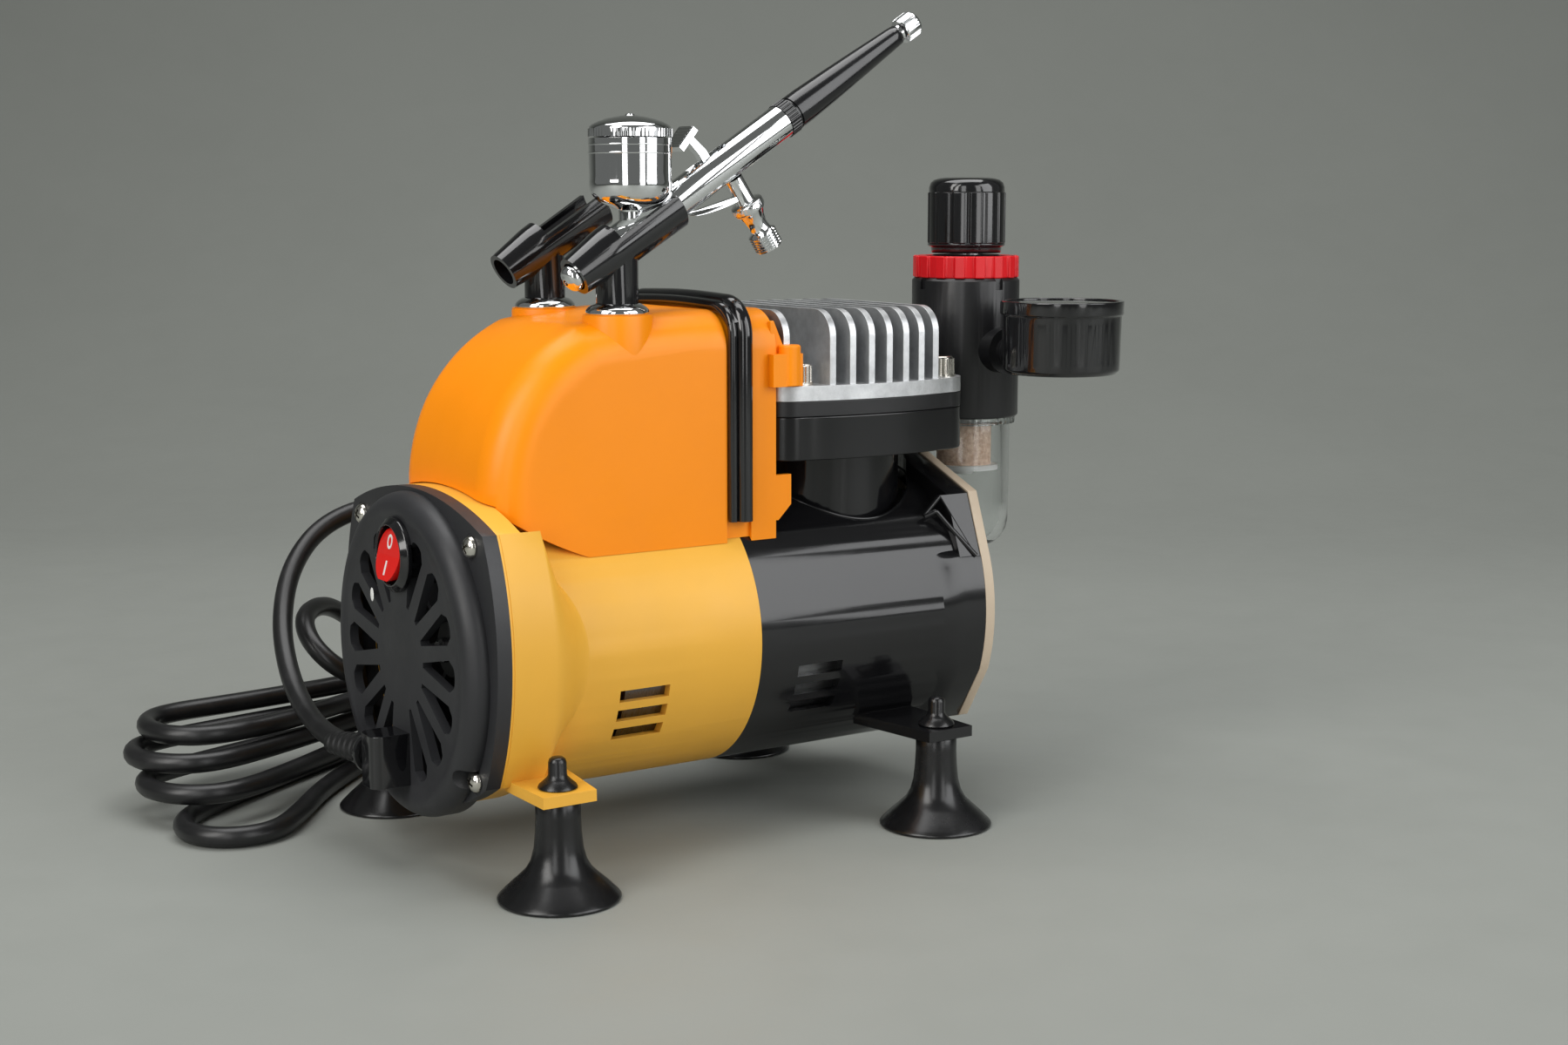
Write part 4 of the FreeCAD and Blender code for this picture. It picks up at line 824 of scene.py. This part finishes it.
class COMPRESSOR_OT_shells(Operator):
    """Front and rear motor shells with the end plate and its screws"""

    bl_idname = "compressor.shells"
    bl_label = "Motor shells"

    def execute(self, context):
        width = finish_settings().edge_round
        shell = moulded_copy("front_shell", "compressor", "yellow", width * 1.8, segments=3)
        # Painted shade: the inner faces of the front shell get satin black to stand for the dark hollow inside
        # it, where there is no black part.
        shell.data.materials.append(finish_of("satin_black"))
        for face in shell.data.polygons:
            y, z = face.center.y / MM, face.center.z / MM - AXIS_HEIGHT
            if math.hypot(y, z) < SHELL_RADIUS - SHELL_WALL and abs(face.normal.x) < 0.5:
                face.material_index = 1
        moulded_copy("rear_shell", "compressor", "enamel", width)
        moulded_copy("rear_end_plate", "compressor", "cream", width)
        self.end_skin()
        moulded_copy("end_plate_screws", "compressor", "nickel", 0.0003)
        for side in SIDES:
            self.front_cheek(side)
            self.rear_corner(side)
            self.rear_side(side)
        self.opening_lip()
        return {"FINISHED"}

    def end_skin(self):
        """A black sheet over the end plate, a little smaller, so that the plate's edge stays pale."""
        right = [Vector((8.6, -44.4)), Vector((32.8, -37.2))]
        right += arc_between((43.9, -19.4), (43.9, 19.4), 3.1, 10)
        right += [Vector((36.2, 40.0)), Vector((8.6, 51.4))]
        outline = right + [Vector((-spot.x, spot.y)) for spot in reversed(right)]
        bm = bmesh.new()
        face = bm.faces.new([bm.verts.new(at(END_PLATE_FAR, spot.x, AXIS_HEIGHT + spot.y)) for spot in outline])
        raised(bm, [face], (0.5, 0, 0))
        piece = add_piece("end_plate_skin", "compressor", to_mesh(bm, "skin", 30), "enamel")
        round_edges(piece, 0.0002, 2)

    def front_cheek(self, side):
        """The flange's corners stand out crisply and its middle runs out along the shell."""
        curve = arc_between((47.6, -34.1), (48.65, 44.15), 9.55, 40)
        outline = [Vector((36, -33.4))] + curve + [Vector((34, 37.2))]
        ends = []
        for step in range(len(outline)):
            across = abs(step / (len(outline) - 1) * 2 - 1)
            ends.append(-67.2 + 16 * (1 - across ** 2))
        fairing(outline, side, (-83.2, -69.7), ends, "front_cheek_" + hand(side), "yellow")

    def rear_corner(self, side):
        """A flat panel at the upper corner: its front edge slants down to the end plate."""
        panel = [Vector((37.7, 41.7)).lerp(Vector((45.7, 20)), step / 10) for step in range(11)]
        grid = bmesh.new()
        for step in range(10):
            low, high = panel[step + 1], panel[step]
            edges = [(90.5 + 10.5 * (step + 1) / 10, low), (90.5 + 10.5 * step / 10, high)]
            corners = [(edges[0][0], low), (END_PLATE_NEAR, low), (END_PLATE_NEAR, high), (edges[1][0], high)]
            grid.faces.new([grid.verts.new(at(x, side * spot.x, AXIS_HEIGHT + spot.y))
                            for x, spot in corners])
        bmesh.ops.remove_doubles(grid, verts=grid.verts, dist=1e-6)
        bmesh.ops.recalc_face_normals(grid, faces=grid.faces)
        grid.normal_update()
        if sum(face.normal.y for face in grid.faces) * side < 0:
            bmesh.ops.reverse_faces(grid, faces=grid.faces)
        bmesh.ops.solidify(grid, geom=grid.faces[:], thickness=0.0011)
        label = hand(side)
        piece = add_piece("rear_panel_" + label, "compressor", to_mesh(grid, "panel", 30), "enamel")
        round_edges(piece, 0.0004, 2)
        rib = [at(84.5, side * 37.2, AXIS_HEIGHT + 34.5), at(88.5, side * 38.6, AXIS_HEIGHT + 36.2),
               at(93.5, side * 41.5, AXIS_HEIGHT + 29.5), at(100.8, side * 45.6, AXIS_HEIGHT + 20.4)]
        add_piece("corner_rib_" + label, "compressor", tube_mesh(rib, 0.9, "rib", order=2), "enamel")
        top = [at(84.5, side * 36.9, AXIS_HEIGHT + 34.7), at(91.0, side * 37.2, AXIS_HEIGHT + 41.0)]
        add_piece("corner_brace_" + label, "compressor", tube_mesh(top, 0.9, "brace", order=2), "enamel")

    def rear_side(self, side):
        """The shell swells smoothly from round to the end plate's outline."""
        outline = [Vector((16, -45.0)), Vector((34.1, -38.7))]
        outline += arc_between((45.65, -20.1), (45.65, 20.1), 3.3, 16)
        outline += [Vector((44.5, 21.4)), Vector((43.2, 22.2)), Vector((42.2, 22.6))]
        ends = [82.0] * len(outline)
        fairing(outline, side, (END_PLATE_NEAR, 94.0), ends, "rear_side_" + hand(side), "enamel")

    def opening_lip(self):
        """The turned edge of the gap in the shell round the cylinder."""
        loop = []
        for step in range(48):
            angle = 2 * math.pi * step / 48
            y = 33 * math.sin(angle)
            loop.append(at(64 + 33 * math.cos(angle), y, AXIS_HEIGHT + math.sqrt(SHELL_RADIUS ** 2 - y * y)))
        add_piece("opening_lip", "compressor", tube_mesh(loop, 0.5, "lip", cyclic=True), "enamel")


class COMPRESSOR_OT_feet(Operator):
    """Four rubber suction feet"""

    bl_idname = "compressor.feet"
    bl_label = "Suction feet"

    def execute(self, context):
        bracket_under, bracket_thick = 31, 3.6
        top = bracket_under + bracket_thick
        outline = [
            (0, 6), (4, 5.7), (8, 4.4), (12, 2.6), (15.2, 0.7), (16.4, 0.06), (18.3, 0.05), (18.85, 0.35),
            (18.95, 0.8), (18.6, 1.3), (17.6, 2.3), (15.4, 4.5), (12.6, 7.0), (10.2, 9.4), (8.6, 12.2),
            (7.6, 16), (7.1, 21), (6.9, 26), (6.9, 30.2), (6.5, 30.9), (3.8, 31), (3.8, top),
            (5.6, top + 0.05), (6.1, top + 0.4), (5.7, top + 1.2), (4.1, top + 2.6), (3.1, top + 3.6),
            (2.85, top + 4.4), (2.8, top + 8.0), (2.5, top + 9.0), (1.7, top + 9.6), (0, top + 9.8)]
        feet = [spun(outline, 56, at(end * FOOT_X, side * FOOT_Y, 0)) for end in SIDES for side in SIDES]
        add_piece("suction_feet_finished", "compressor", to_mesh(joined(feet), "feet", 50), "rubber",
                  ("suction_feet",))
        return {"FINISHED"}


class COMPRESSOR_OT_drive(Operator):
    """Motor, fan, crank and piston, seen through the slots"""

    bl_idname = "compressor.drive"
    bl_label = "Motor and crank"

    def execute(self, context):
        paint_node("motor_stator", "dark_steel")
        for node in ("rotor", "motor_shaft", "bearings", "bearing_bracket", "crank_web",
                     "adjusting_spring", "holder_nuts"):
            paint_node(node, "steel")
        for node in ("crankcase", "piston"):
            paint_node(node, "aluminium")
        moulded_copy("cooling_fan", "motor_rotor", "fan", 0.0003)
        self.coils()
        self.wires()
        return {"FINISHED"}

    def coils(self):
        """Windings: a bundle of rings over each end of the stator."""
        bundles = []
        for low, high in ((-47.5, -38.5), (2.5, 8.5)):
            middle = (low + high) / 2
            for row in range(6):
                wide = 26.5 + row * 2.35
                half = (high - low) / 2 - abs(row - 2.5) * 0.4
                outline = [(wide - 1.15, middle - half), (wide + 1.15, middle - half),
                           (wide + 1.15, middle + half), (wide - 1.15, middle + half),
                           (wide - 1.15, middle - half)]
                bundles.append(spun(outline, 64, at(0, 0, AXIS_HEIGHT), (1, 0, 0)))
        piece = add_piece("stator_windings", "compressor", to_mesh(joined(bundles), "windings"), "winding",
                          ("stator_coils",))
        round_edges(piece, 0.0009, 3)

    def wires(self):
        """Two insulated leads and a white sleeve between the switch and the windings."""
        leads = (
            ("blue_lead", 1.1, (0.02, 0.12, 0.42),
             ((-90.5, -30, 50), (-87, -34, 43), (-82, -36, 50), (-80.5, -38, 60))),
            ("white_lead", 2.0, (0.62, 0.64, 0.66),
             ((-90.5, -24, 41), (-87, -30, 36), (-82, -38, 42), (-80.5, -40.5, 52))),
            ("pale_sleeve", 2.4, (0.45, 0.5, 0.55), ((-88, -24, 84), (-84, -30, 87), (-80.5, -38, 84))),
        )
        for name, radius, colour, points in leads:
            mesh = tube_mesh([at(*point) for point in points], radius, name)
            mesh.materials.append(moulded(name + "_cover", colour, 0.35, 800, 0.00003))
            add_piece(name, "compressor", mesh, None)


# ------------------------------------------------------------------ cylinder and head
class COMPRESSOR_OT_cylinder(Operator):
    """Cylinder barrel, valve plate, finned head and its cap screws"""

    bl_idname = "compressor.cylinder"
    bl_label = "Cylinder and head"

    def execute(self, context):
        width = finish_settings().edge_round
        moulded_copy("cylinder", "compressor", "enamel", width * 1.5, segments=3)
        moulded_copy("valve_plate", "compressor", "satin_black", width * 0.8)
        moulded_copy("cylinder_head", "compressor", "aluminium", width * 1.1, segments=3)
        moulded_copy("regulator_fitting", "compressor", "gloss_black", width)
        self.bolts()
        return {"FINISHED"}

    def bolts(self):
        """Socket cap screws with a knurled head, a hexagon socket and a spring washer."""
        solid = []
        sockets = []
        for foot in [at(x, side * 30, 149) for x in (37, 97) for side in SIDES]:
            solid.append(toothed(30, 4.15, 4.4, 0.9, 6.2, foot, (0, 0, 1)))
            solid.append(spun([(0, 6.1), (4.2, 6.1), (3.9, 6.75), (3.5, 7), (0, 7)], 48, foot))
            solid.append(spun([(0, 0), (4.9, 0), (4.9, 0.9), (0, 0.9)], 40, foot))
            sockets.append(hexagon(2.3, 6, foot + Vector((0, 0, 7)) * MM))
        mesh = carved(to_mesh(joined(solid), "bolts"), joined(sockets))
        add_piece("head_bolts_finished", "compressor", mesh, "nickel", ("head_bolts",))


# ------------------------------------------------------------------ cover, handle and holders
COVER_TOP = 174


def holder_post(side, z):
    """A point on the upright axis of a holder's post."""
    return at(-28.7, side * 24.7, z)


def arch(half, top, corner, foot, x):
    """Control points of an upside-down U over the cover."""
    reach = corner * 0.6
    return [at(x, -half, foot), at(x, -half, (foot + top) / 2), at(x, -half, top - corner),
            at(x, -half, top - corner + reach), at(x, -half + corner - reach, top),
            at(x, -half + corner, top + 0.4), at(x, 0, top + 1.0), at(x, half - corner, top + 0.4),
            at(x, half - corner + reach, top), at(x, half, top - corner + reach), at(x, half, top - corner),
            at(x, half, (foot + top) / 2), at(x, half, foot)]


class COMPRESSOR_OT_cover(Operator):
    """Orange top cover, the carry handle in its channel, washers and holders"""

    bl_idname = "compressor.cover"
    bl_label = "Cover and handle"

    def execute(self, context):
        width = finish_settings().edge_round
        moulded_copy("top_cover", "compressor", "orange", width * 1.4, segments=3, above=26)
        boss = [(3.5, 161), (11.2, 161), (11.2, 173.2), (10.95, 173.8), (10.4, 174.02), (3.5, 174.02),
                (3.5, 161)]
        bosses = [spun(boss, 72, holder_post(side, 0)) for side in SIDES]
        add_piece("holder_bosses", "compressor", to_mesh(joined(bosses), "bosses"), "orange")
        self.handle()
        self.lug_gussets()
        washer = [(3.5, 0), (9.9, 0), (10.15, 0.25), (10.15, 0.8), (9.9, 1.5), (9.3, 2.2), (8.3, 2.9),
                  (7.4, 3.35), (6.9, 3.45), (3.5, 3.45), (3.5, 0)]
        washers = [spun(washer, 64, holder_post(side, COVER_TOP)) for side in SIDES]
        add_piece("washers_finished", "compressor", to_mesh(joined(washers), "washers", 60), "chrome",
                  ("holder_washers",))
        moulded_copy("holder_front", "front_holder", "gloss_black", width * 1.3, segments=3)
        moulded_copy("holder_rear", "rear_holder", "gloss_black", width * 1.3, segments=3)
        return {"FINISHED"}

    def lug_gussets(self):
        """A sloping web over each upper lug, and the round boss of its screw."""
        for side in SIDES:
            web = [(22.5, 170.5), (23.9, 170.8), (28.4, 160.6), (28.4, 159), (22.5, 159)]
            bm = bmesh.new()
            face = bm.faces.new([bm.verts.new(at(x, side * 35.0, z)) for x, z in web])
            raised(bm, [face], (0, side * -2.0, 0))
            boss = spun([(0, 149.4), (3.7, 149.4), (3.7, 162.3), (3.3, 162.8), (0, 162.8)], 40,
                        at(28.9, side * 36.6, 0))
            label = hand(side)
            piece = add_piece("lug_web_" + label, "compressor", to_mesh(joined([bm, boss]), "web"),
                              "orange")
            round_edges(piece, 0.0005, 3)

    def handle(self):
        """A thin front ridge, a groove and a thicker round bar, on one band."""
        bars = bmesh.new()
        bars.from_mesh(tube_mesh(arch(37.0, 176.5, 15, 106, 11.0), 2.85, "round_bar", resolution=10))
        bars.from_mesh(tube_mesh(arch(36.6, 175.9, 14, 106, 6.95), 1.55, "ridge", resolution=10))
        bars.from_mesh(tube_mesh(arch(35.9, 175.3, 14, 106, 8.6), 1.4, "web", resolution=10))
        band_path = arch(36.2, 175.6, 15, 106, 0.0)[3:10]
        band = bmesh.new()
        band.from_mesh(tube_mesh(band_path, 2.0, "band", resolution=12))
        bmesh.ops.translate(band, verts=band.verts, vec=-at(0, 0, 0))
        bmesh.ops.scale(band, vec=(2.2, 1, 1), verts=band.verts)
        bmesh.ops.translate(band, verts=band.verts, vec=at(9.6, 0, 0))
        add_piece("carry_handle_finished", "handle", to_mesh(joined([bars, band]), "handle", 60), "gloss_black",
                  ("carry_handle",))


# ------------------------------------------------------------------ regulator, bowl and gauge
REGULATOR_X = 130.8


class COMPRESSOR_OT_regulator(Operator):
    """Filter regulator with its knob, lock ring, clear bowl, drain and outlet"""

    bl_idname = "compressor.regulator"
    bl_label = "Filter regulator"

    def execute(self, context):
        width = finish_settings().edge_round
        moulded_copy("regulator_body", "compressor", "satin_black", width)
        moulded_copy("regulator_lock_ring", "compressor", "red_ring", width * 0.8)
        moulded_copy("gauge_stem", "compressor", "satin_black", width)
        self.knob()
        self.bowl()
        paint_node("regulator_spindle", "steel")
        paint_node("filter_element", "bronze")
        paint_node("filter_baffle", "white")
        moulded_copy("drain_valve", "drain", "satin_black", 0.0003)
        self.outlet()
        return {"FINISHED"}

    def knob(self):
        """Fluted knob with a smooth skirt and a domed cap."""
        centre = at(REGULATOR_X, 0, 0)
        skirt = spun([(6.3, 190.4), (12.4, 190.4), (12.7, 190.8), (12.9, 192.6), (13.9, 192.9),
                      (14.1, 193.3), (14.1, 193.9), (13.4, 194.3), (6.3, 194.3), (6.3, 190.4)], 72, centre)
        grip = toothed(14, 13.65, 14.15, 194.0, 212.2, centre, (0, 0, 1), steps=12, cut=3)
        cap = spun([(13.4, 211.8), (13.8, 212.2), (13.75, 214.0), (13.2, 215.6), (12.1, 216.6),
                    (10.4, 217.2), (8.4, 217.5), (7.8, 217.3), (0, 217.3)], 72, centre)
        piece = add_piece("regulator_knob_finished", "knob", to_mesh(joined([skirt, grip, cap]), "knob"),
                          "gloss_black", ("regulator_knob",))
        round_edges(piece, 0.0003, 2)

    def bowl(self):
        """Clear bowl: a thin wall, a thicker collar and a dished foot, with a ribbed ring round the collar."""
        centre = at(REGULATOR_X, 0, 0)
        outline = [(4, 81), (7, 81), (7.6, 81.6), (8, 83), (11.6, 84.1), (14.2, 86.4), (15.9, 89.4),
                   (16.5, 92.5), (16.75, 110), (16.75, 128.6), (15, 128.6), (15, 131.1), (13.2, 131.1),
                   (13.6, 125), (14.1, 100), (14, 93), (12.6, 89), (10.3, 86.8), (7, 86.1), (4, 86), (4, 81)]
        shell = to_mesh(spun(outline, 72, centre), "bowl", 30)
        add_piece("filter_bowl_finished", "compressor", shell, "clear", ("filter_bowl",))
        collar = toothed(40, 18.15, 18.55, 128.7, 131.1, centre, (0, 0, 1))
        add_piece("bowl_ring_finished", "compressor", to_mesh(collar, "bowl_ring"), "clear", ("bowl_ring",))

    def outlet(self):
        """Threaded nipple with a hexagon."""
        outline = [(2, 0), (4.9, 0), (4.9, 9), (5.6, 9)]
        for turn in range(8):
            low = 13.6 + turn * 0.96
            outline += [(4.25, low), (4.84, low + 0.4), (4.84, low + 0.55), (4.25, low + 0.92)]
        outline += [(4.1, 21.9), (2, 22.1), (2, 0)]
        start = at(REGULATOR_X, 14.6, 156)
        nut = hexagon(6.95, 4.4, start + Vector((0, 11.3, 0)) * MM, (0, 1, 0))
        pieces = joined([spun(outline, 48, start, (0, 1, 0)), nut])
        piece = add_piece("hose_outlet_finished", "compressor", to_mesh(pieces, "outlet"), "nickel",
                          ("hose_outlet",))
        round_edges(piece, 0.0002, 1, above=50)


class COMPRESSOR_OT_gauge(Operator):
    """Pressure gauge: case, printed dial with generic numbers, pointer and lens"""

    bl_idname = "compressor.gauge"
    bl_label = "Gauge"

    CENTRE_Y = -53.7
    ZERO, SWEEP = 225, 270
    PRINT_HEIGHT = 164.85

    def execute(self, context):
        moulded_copy("gauge_case", "compressor", "gloss_black", 0.0008, segments=3)
        paint_node("gauge_dial", "white")
        moulded_copy("gauge_needle", "pointer", "satin_black", 0.0001)
        lens = spun([(0, 173.2), (19.5, 173.2), (19.5, 174.5), (16, 174.72), (0, 174.8)], 72,
                    at(REGULATOR_X, self.CENTRE_Y, 0))
        add_piece("gauge_lens_finished", "compressor", to_mesh(lens, "lens", 30), "clear", ("gauge_lens",))
        self.scale()
        return {"FINISHED"}

    def spot(self, radius, degrees):
        a = math.radians(degrees)
        return at(REGULATOR_X + radius * math.cos(a), self.CENTRE_Y + radius * math.sin(a),
                  self.PRINT_HEIGHT)

    def scale(self):
        """Forty fine divisions, ten long ones and a number at every second long one."""
        ticks = []
        for step in range(41):
            degrees = self.ZERO - self.SWEEP * step / 40
            long = step % 4 == 0
            size = (3.0 if long else 1.6, 0.42 if long else 0.2, 0.06)
            turn = Matrix.Rotation(math.radians(degrees), 4, "Z")
            ticks.append(block(size, self.spot(16.4 - size[0] / 2, degrees), turn))
        add_piece("dial_divisions", "compressor", to_mesh(joined(ticks), "divisions"), "satin_black")
        figures = bmesh.new()
        for number in range(0, 11, 2):
            curve = bpy.data.curves.new("figure", "FONT")
            curve.body = str(number)
            curve.size = 3.4 * MM
            curve.align_x = "CENTER"
            curve.align_y = "CENTER"
            curve.extrude = 0.03 * MM
            mesh = baked(linked("figure", curve))
            mesh.transform(Matrix.Translation(self.spot(11.4, self.ZERO - self.SWEEP * number / 10)))
            figures.from_mesh(mesh)
        add_piece("dial_figures", "compressor", to_mesh(figures, "figures"), "satin_black")


# ------------------------------------------------------------------ airbrush
def brush_direction():
    return Vector((math.cos(TILT), 0, math.sin(TILT)))


def brush_turned(outline, steps=64):
    """A bmesh turned about the airbrush's axis from (distance, radius) points."""
    return spun([(radius, along) for along, radius in outline], steps, on_brush(0), brush_direction())


class COMPRESSOR_OT_airbrush(Operator):
    """Airbrush parked in the front holder"""

    bl_idname = "compressor.airbrush"
    bl_label = "Airbrush"

    def execute(self, context):
        moulded_copy("airbrush_body", "airbrush", "chrome", 0.00035)
        moulded_copy("airbrush_needle", "paint_needle", "steel", 0.0001)
        cap = brush_turned([(-1, 1), (-1, 1.5), (-0.6, 1.9), (-0.5, 2.7), (-0.1, 3.5), (0.6, 4.05),
                            (1.6, 4.32), (6.6, 4.35), (6.75, 4.2), (6.75, 1), (-1, 1)])
        add_piece("nozzle_cap_finished", "airbrush", to_mesh(cap, "nozzle_cap", 50), "chrome",
                  ("airbrush_nozzle_cap",))
        self.handle()
        self.cup()
        self.valve()
        self.trigger()
        return {"FINISHED"}

    def handle(self):
        """Black tapered handle with a knurled collar, and the knurled end knob."""
        taper = brush_turned([(94, 1), (94, 5.7), (98.6, 5.7), (98.6, 5.3), (99.3, 5.3), (99.5, 5.75),
                              (104, 5.78), (118, 5.2), (134, 4.35), (147, 3.6), (149.6, 3.4), (149.9, 3.1),
                              (149.9, 1), (94, 1)])
        collar = toothed(36, 5.85, 6.1, 94.2, 98.3, on_brush(0), brush_direction())
        add_piece("airbrush_handle_finished", "airbrush", to_mesh(joined([taper, collar]), "handle", 45),
                  "anodised", ("airbrush_handle",))
        knob = [brush_turned([(150, 0), (150, 2.6), (151.0, 2.9), (151.4, 4.1), (152, 4.3), (157.2, 4.3),
                              (158.0, 3.9), (158.5, 3.2), (158.5, 1.6), (157.6, 1.2), (157.6, 0)]),
                toothed(28, 4.2, 4.5, 152.0, 157.0, on_brush(0), brush_direction())]
        add_piece("end_knob_finished", "end_knob", to_mesh(joined(knob), "end_knob", 45), "chrome",
                  ("airbrush_end_knob",))

    def cup(self):
        """Open cup with two rings near its rim, and a domed lid with a fine knurl."""
        moulded_copy("airbrush_cup", "airbrush", "chrome", 0.0004, segments=3)
        centre = at(-23.4, -24.7, 0)
        bands = [spun([(13.0, low), (13.32, low + 0.25), (13.32, low + 0.6), (13.0, low + 0.85),
                       (12.6, low + 0.4), (13.0, low)], 72, centre) for low in (224.0, 226.6)]
        add_piece("cup_bands", "airbrush", to_mesh(joined(bands), "bands", 60), "chrome")
        lid = [toothed(64, 13.1, 13.3, 229.4, 231.9, centre, (0, 0, 1)),
               spun([(0, 229.4), (11.6, 229.4), (13.05, 229.6), (13.15, 231.8), (12.9, 232.5),
                     (12.2, 233.2), (10.2, 234.2), (7.4, 235.1), (4, 235.8), (1.6, 236.1), (1.3, 236.5),
                     (0, 236.6)], 72, centre)]
        add_piece("cup_lid_finished", "cup_lid", to_mesh(joined(lid), "lid", 45), "chrome",
                  ("airbrush_cup_lid",))

    def valve(self):
        """Air valve below the barrel: flange, waist and threaded inlet."""
        outline = [(0, -31.9), (4.3, -32.1)]
        for turn in range(6):
            low = -31.7 + turn * 0.96
            outline += [(4.3, low), (4.84, low + 0.35), (4.84, low + 0.5), (4.3, low + 0.9)]
        outline += [(3.6, -25.4), (3.35, -24), (3.3, -22.6), (3.9, -20.4), (5.0, -18.2), (5.55, -17.4),
                    (5.6, -16.9), (5.6, -15.2), (5.3, -14.8), (3.5, -14.5), (3.25, -14.1), (3.2, -5.6),
                    (0, -5.4)]
        square = Vector((-math.sin(TILT), 0, math.cos(TILT)))
        stem = spun(outline, 56, on_brush(68.5), square)
        knurl = toothed(34, 5.45, 5.62, -16.8, -15.3, on_brush(68.5), square)
        add_piece("air_valve_finished", "airbrush", to_mesh(joined([stem, knurl]), "air_valve", 45),
                  "chrome", ("airbrush_air_valve",))

    def trigger(self):
        """Lever with a ribbed finger pad."""
        moulded_copy("airbrush_trigger", "trigger", "chrome", 0.0005, segments=3)
        ribs = []
        lean = math.atan2(2.8, 8.1)
        for step in range(7):
            turn = Matrix.Rotation(-(TILT + lean), 4, "Y")
            along = 62.5 - 7.2 + step * 1.15
            up = 15.05 + (step * 1.15) * math.tan(lean)
            ribs.append(block((0.5, 7.8, 0.5), on_brush(along, up), turn))
        piece = add_piece("trigger_ribs", "trigger", to_mesh(joined(ribs), "ribs"), "chrome")
        round_edges(piece, 0.00015, 2)


# ------------------------------------------------------------------ panel and registration
STEPS = ("stage", "cord", "grille", "switch", "gland", "shells", "feet", "drive", "cylinder", "cover",
         "regulator", "gauge", "airbrush")


class COMPRESSOR_PT_panel(Panel):
    """Buttons for every group of pieces"""

    bl_idname = "COMPRESSOR_PT_panel"
    bl_label = "Airbrush compressor"
    bl_space_type = "VIEW_3D"
    bl_region_type = "UI"
    bl_category = "Compressor"

    def draw(self, context):
        settings = context.scene.compressor_finish
        for name in settings.bl_rna.properties.keys():
            if name not in ("rna_type", "name"):
                self.layout.prop(settings, name)
        for step in STEPS:
            self.layout.operator("compressor." + step)


CLASSES = (
    CompressorFinish, COMPRESSOR_OT_stage, COMPRESSOR_OT_cord, COMPRESSOR_OT_grille, COMPRESSOR_OT_switch,
    COMPRESSOR_OT_gland, COMPRESSOR_OT_shells, COMPRESSOR_OT_feet, COMPRESSOR_OT_drive,
    COMPRESSOR_OT_cylinder, COMPRESSOR_OT_cover, COMPRESSOR_OT_regulator, COMPRESSOR_OT_gauge,
    COMPRESSOR_OT_airbrush, COMPRESSOR_PT_panel,
)


def register():
    for entry in CLASSES:
        bpy.utils.register_class(entry)
    bpy.types.Scene.compressor_finish = PointerProperty(type=CompressorFinish)


def unregister():
    del bpy.types.Scene.compressor_finish
    for entry in reversed(CLASSES):
        bpy.utils.unregister_class(entry)


def main():
    register()
    for step in STEPS:
        getattr(bpy.ops.compressor, step)()


if __name__ == "__main__":
    main()
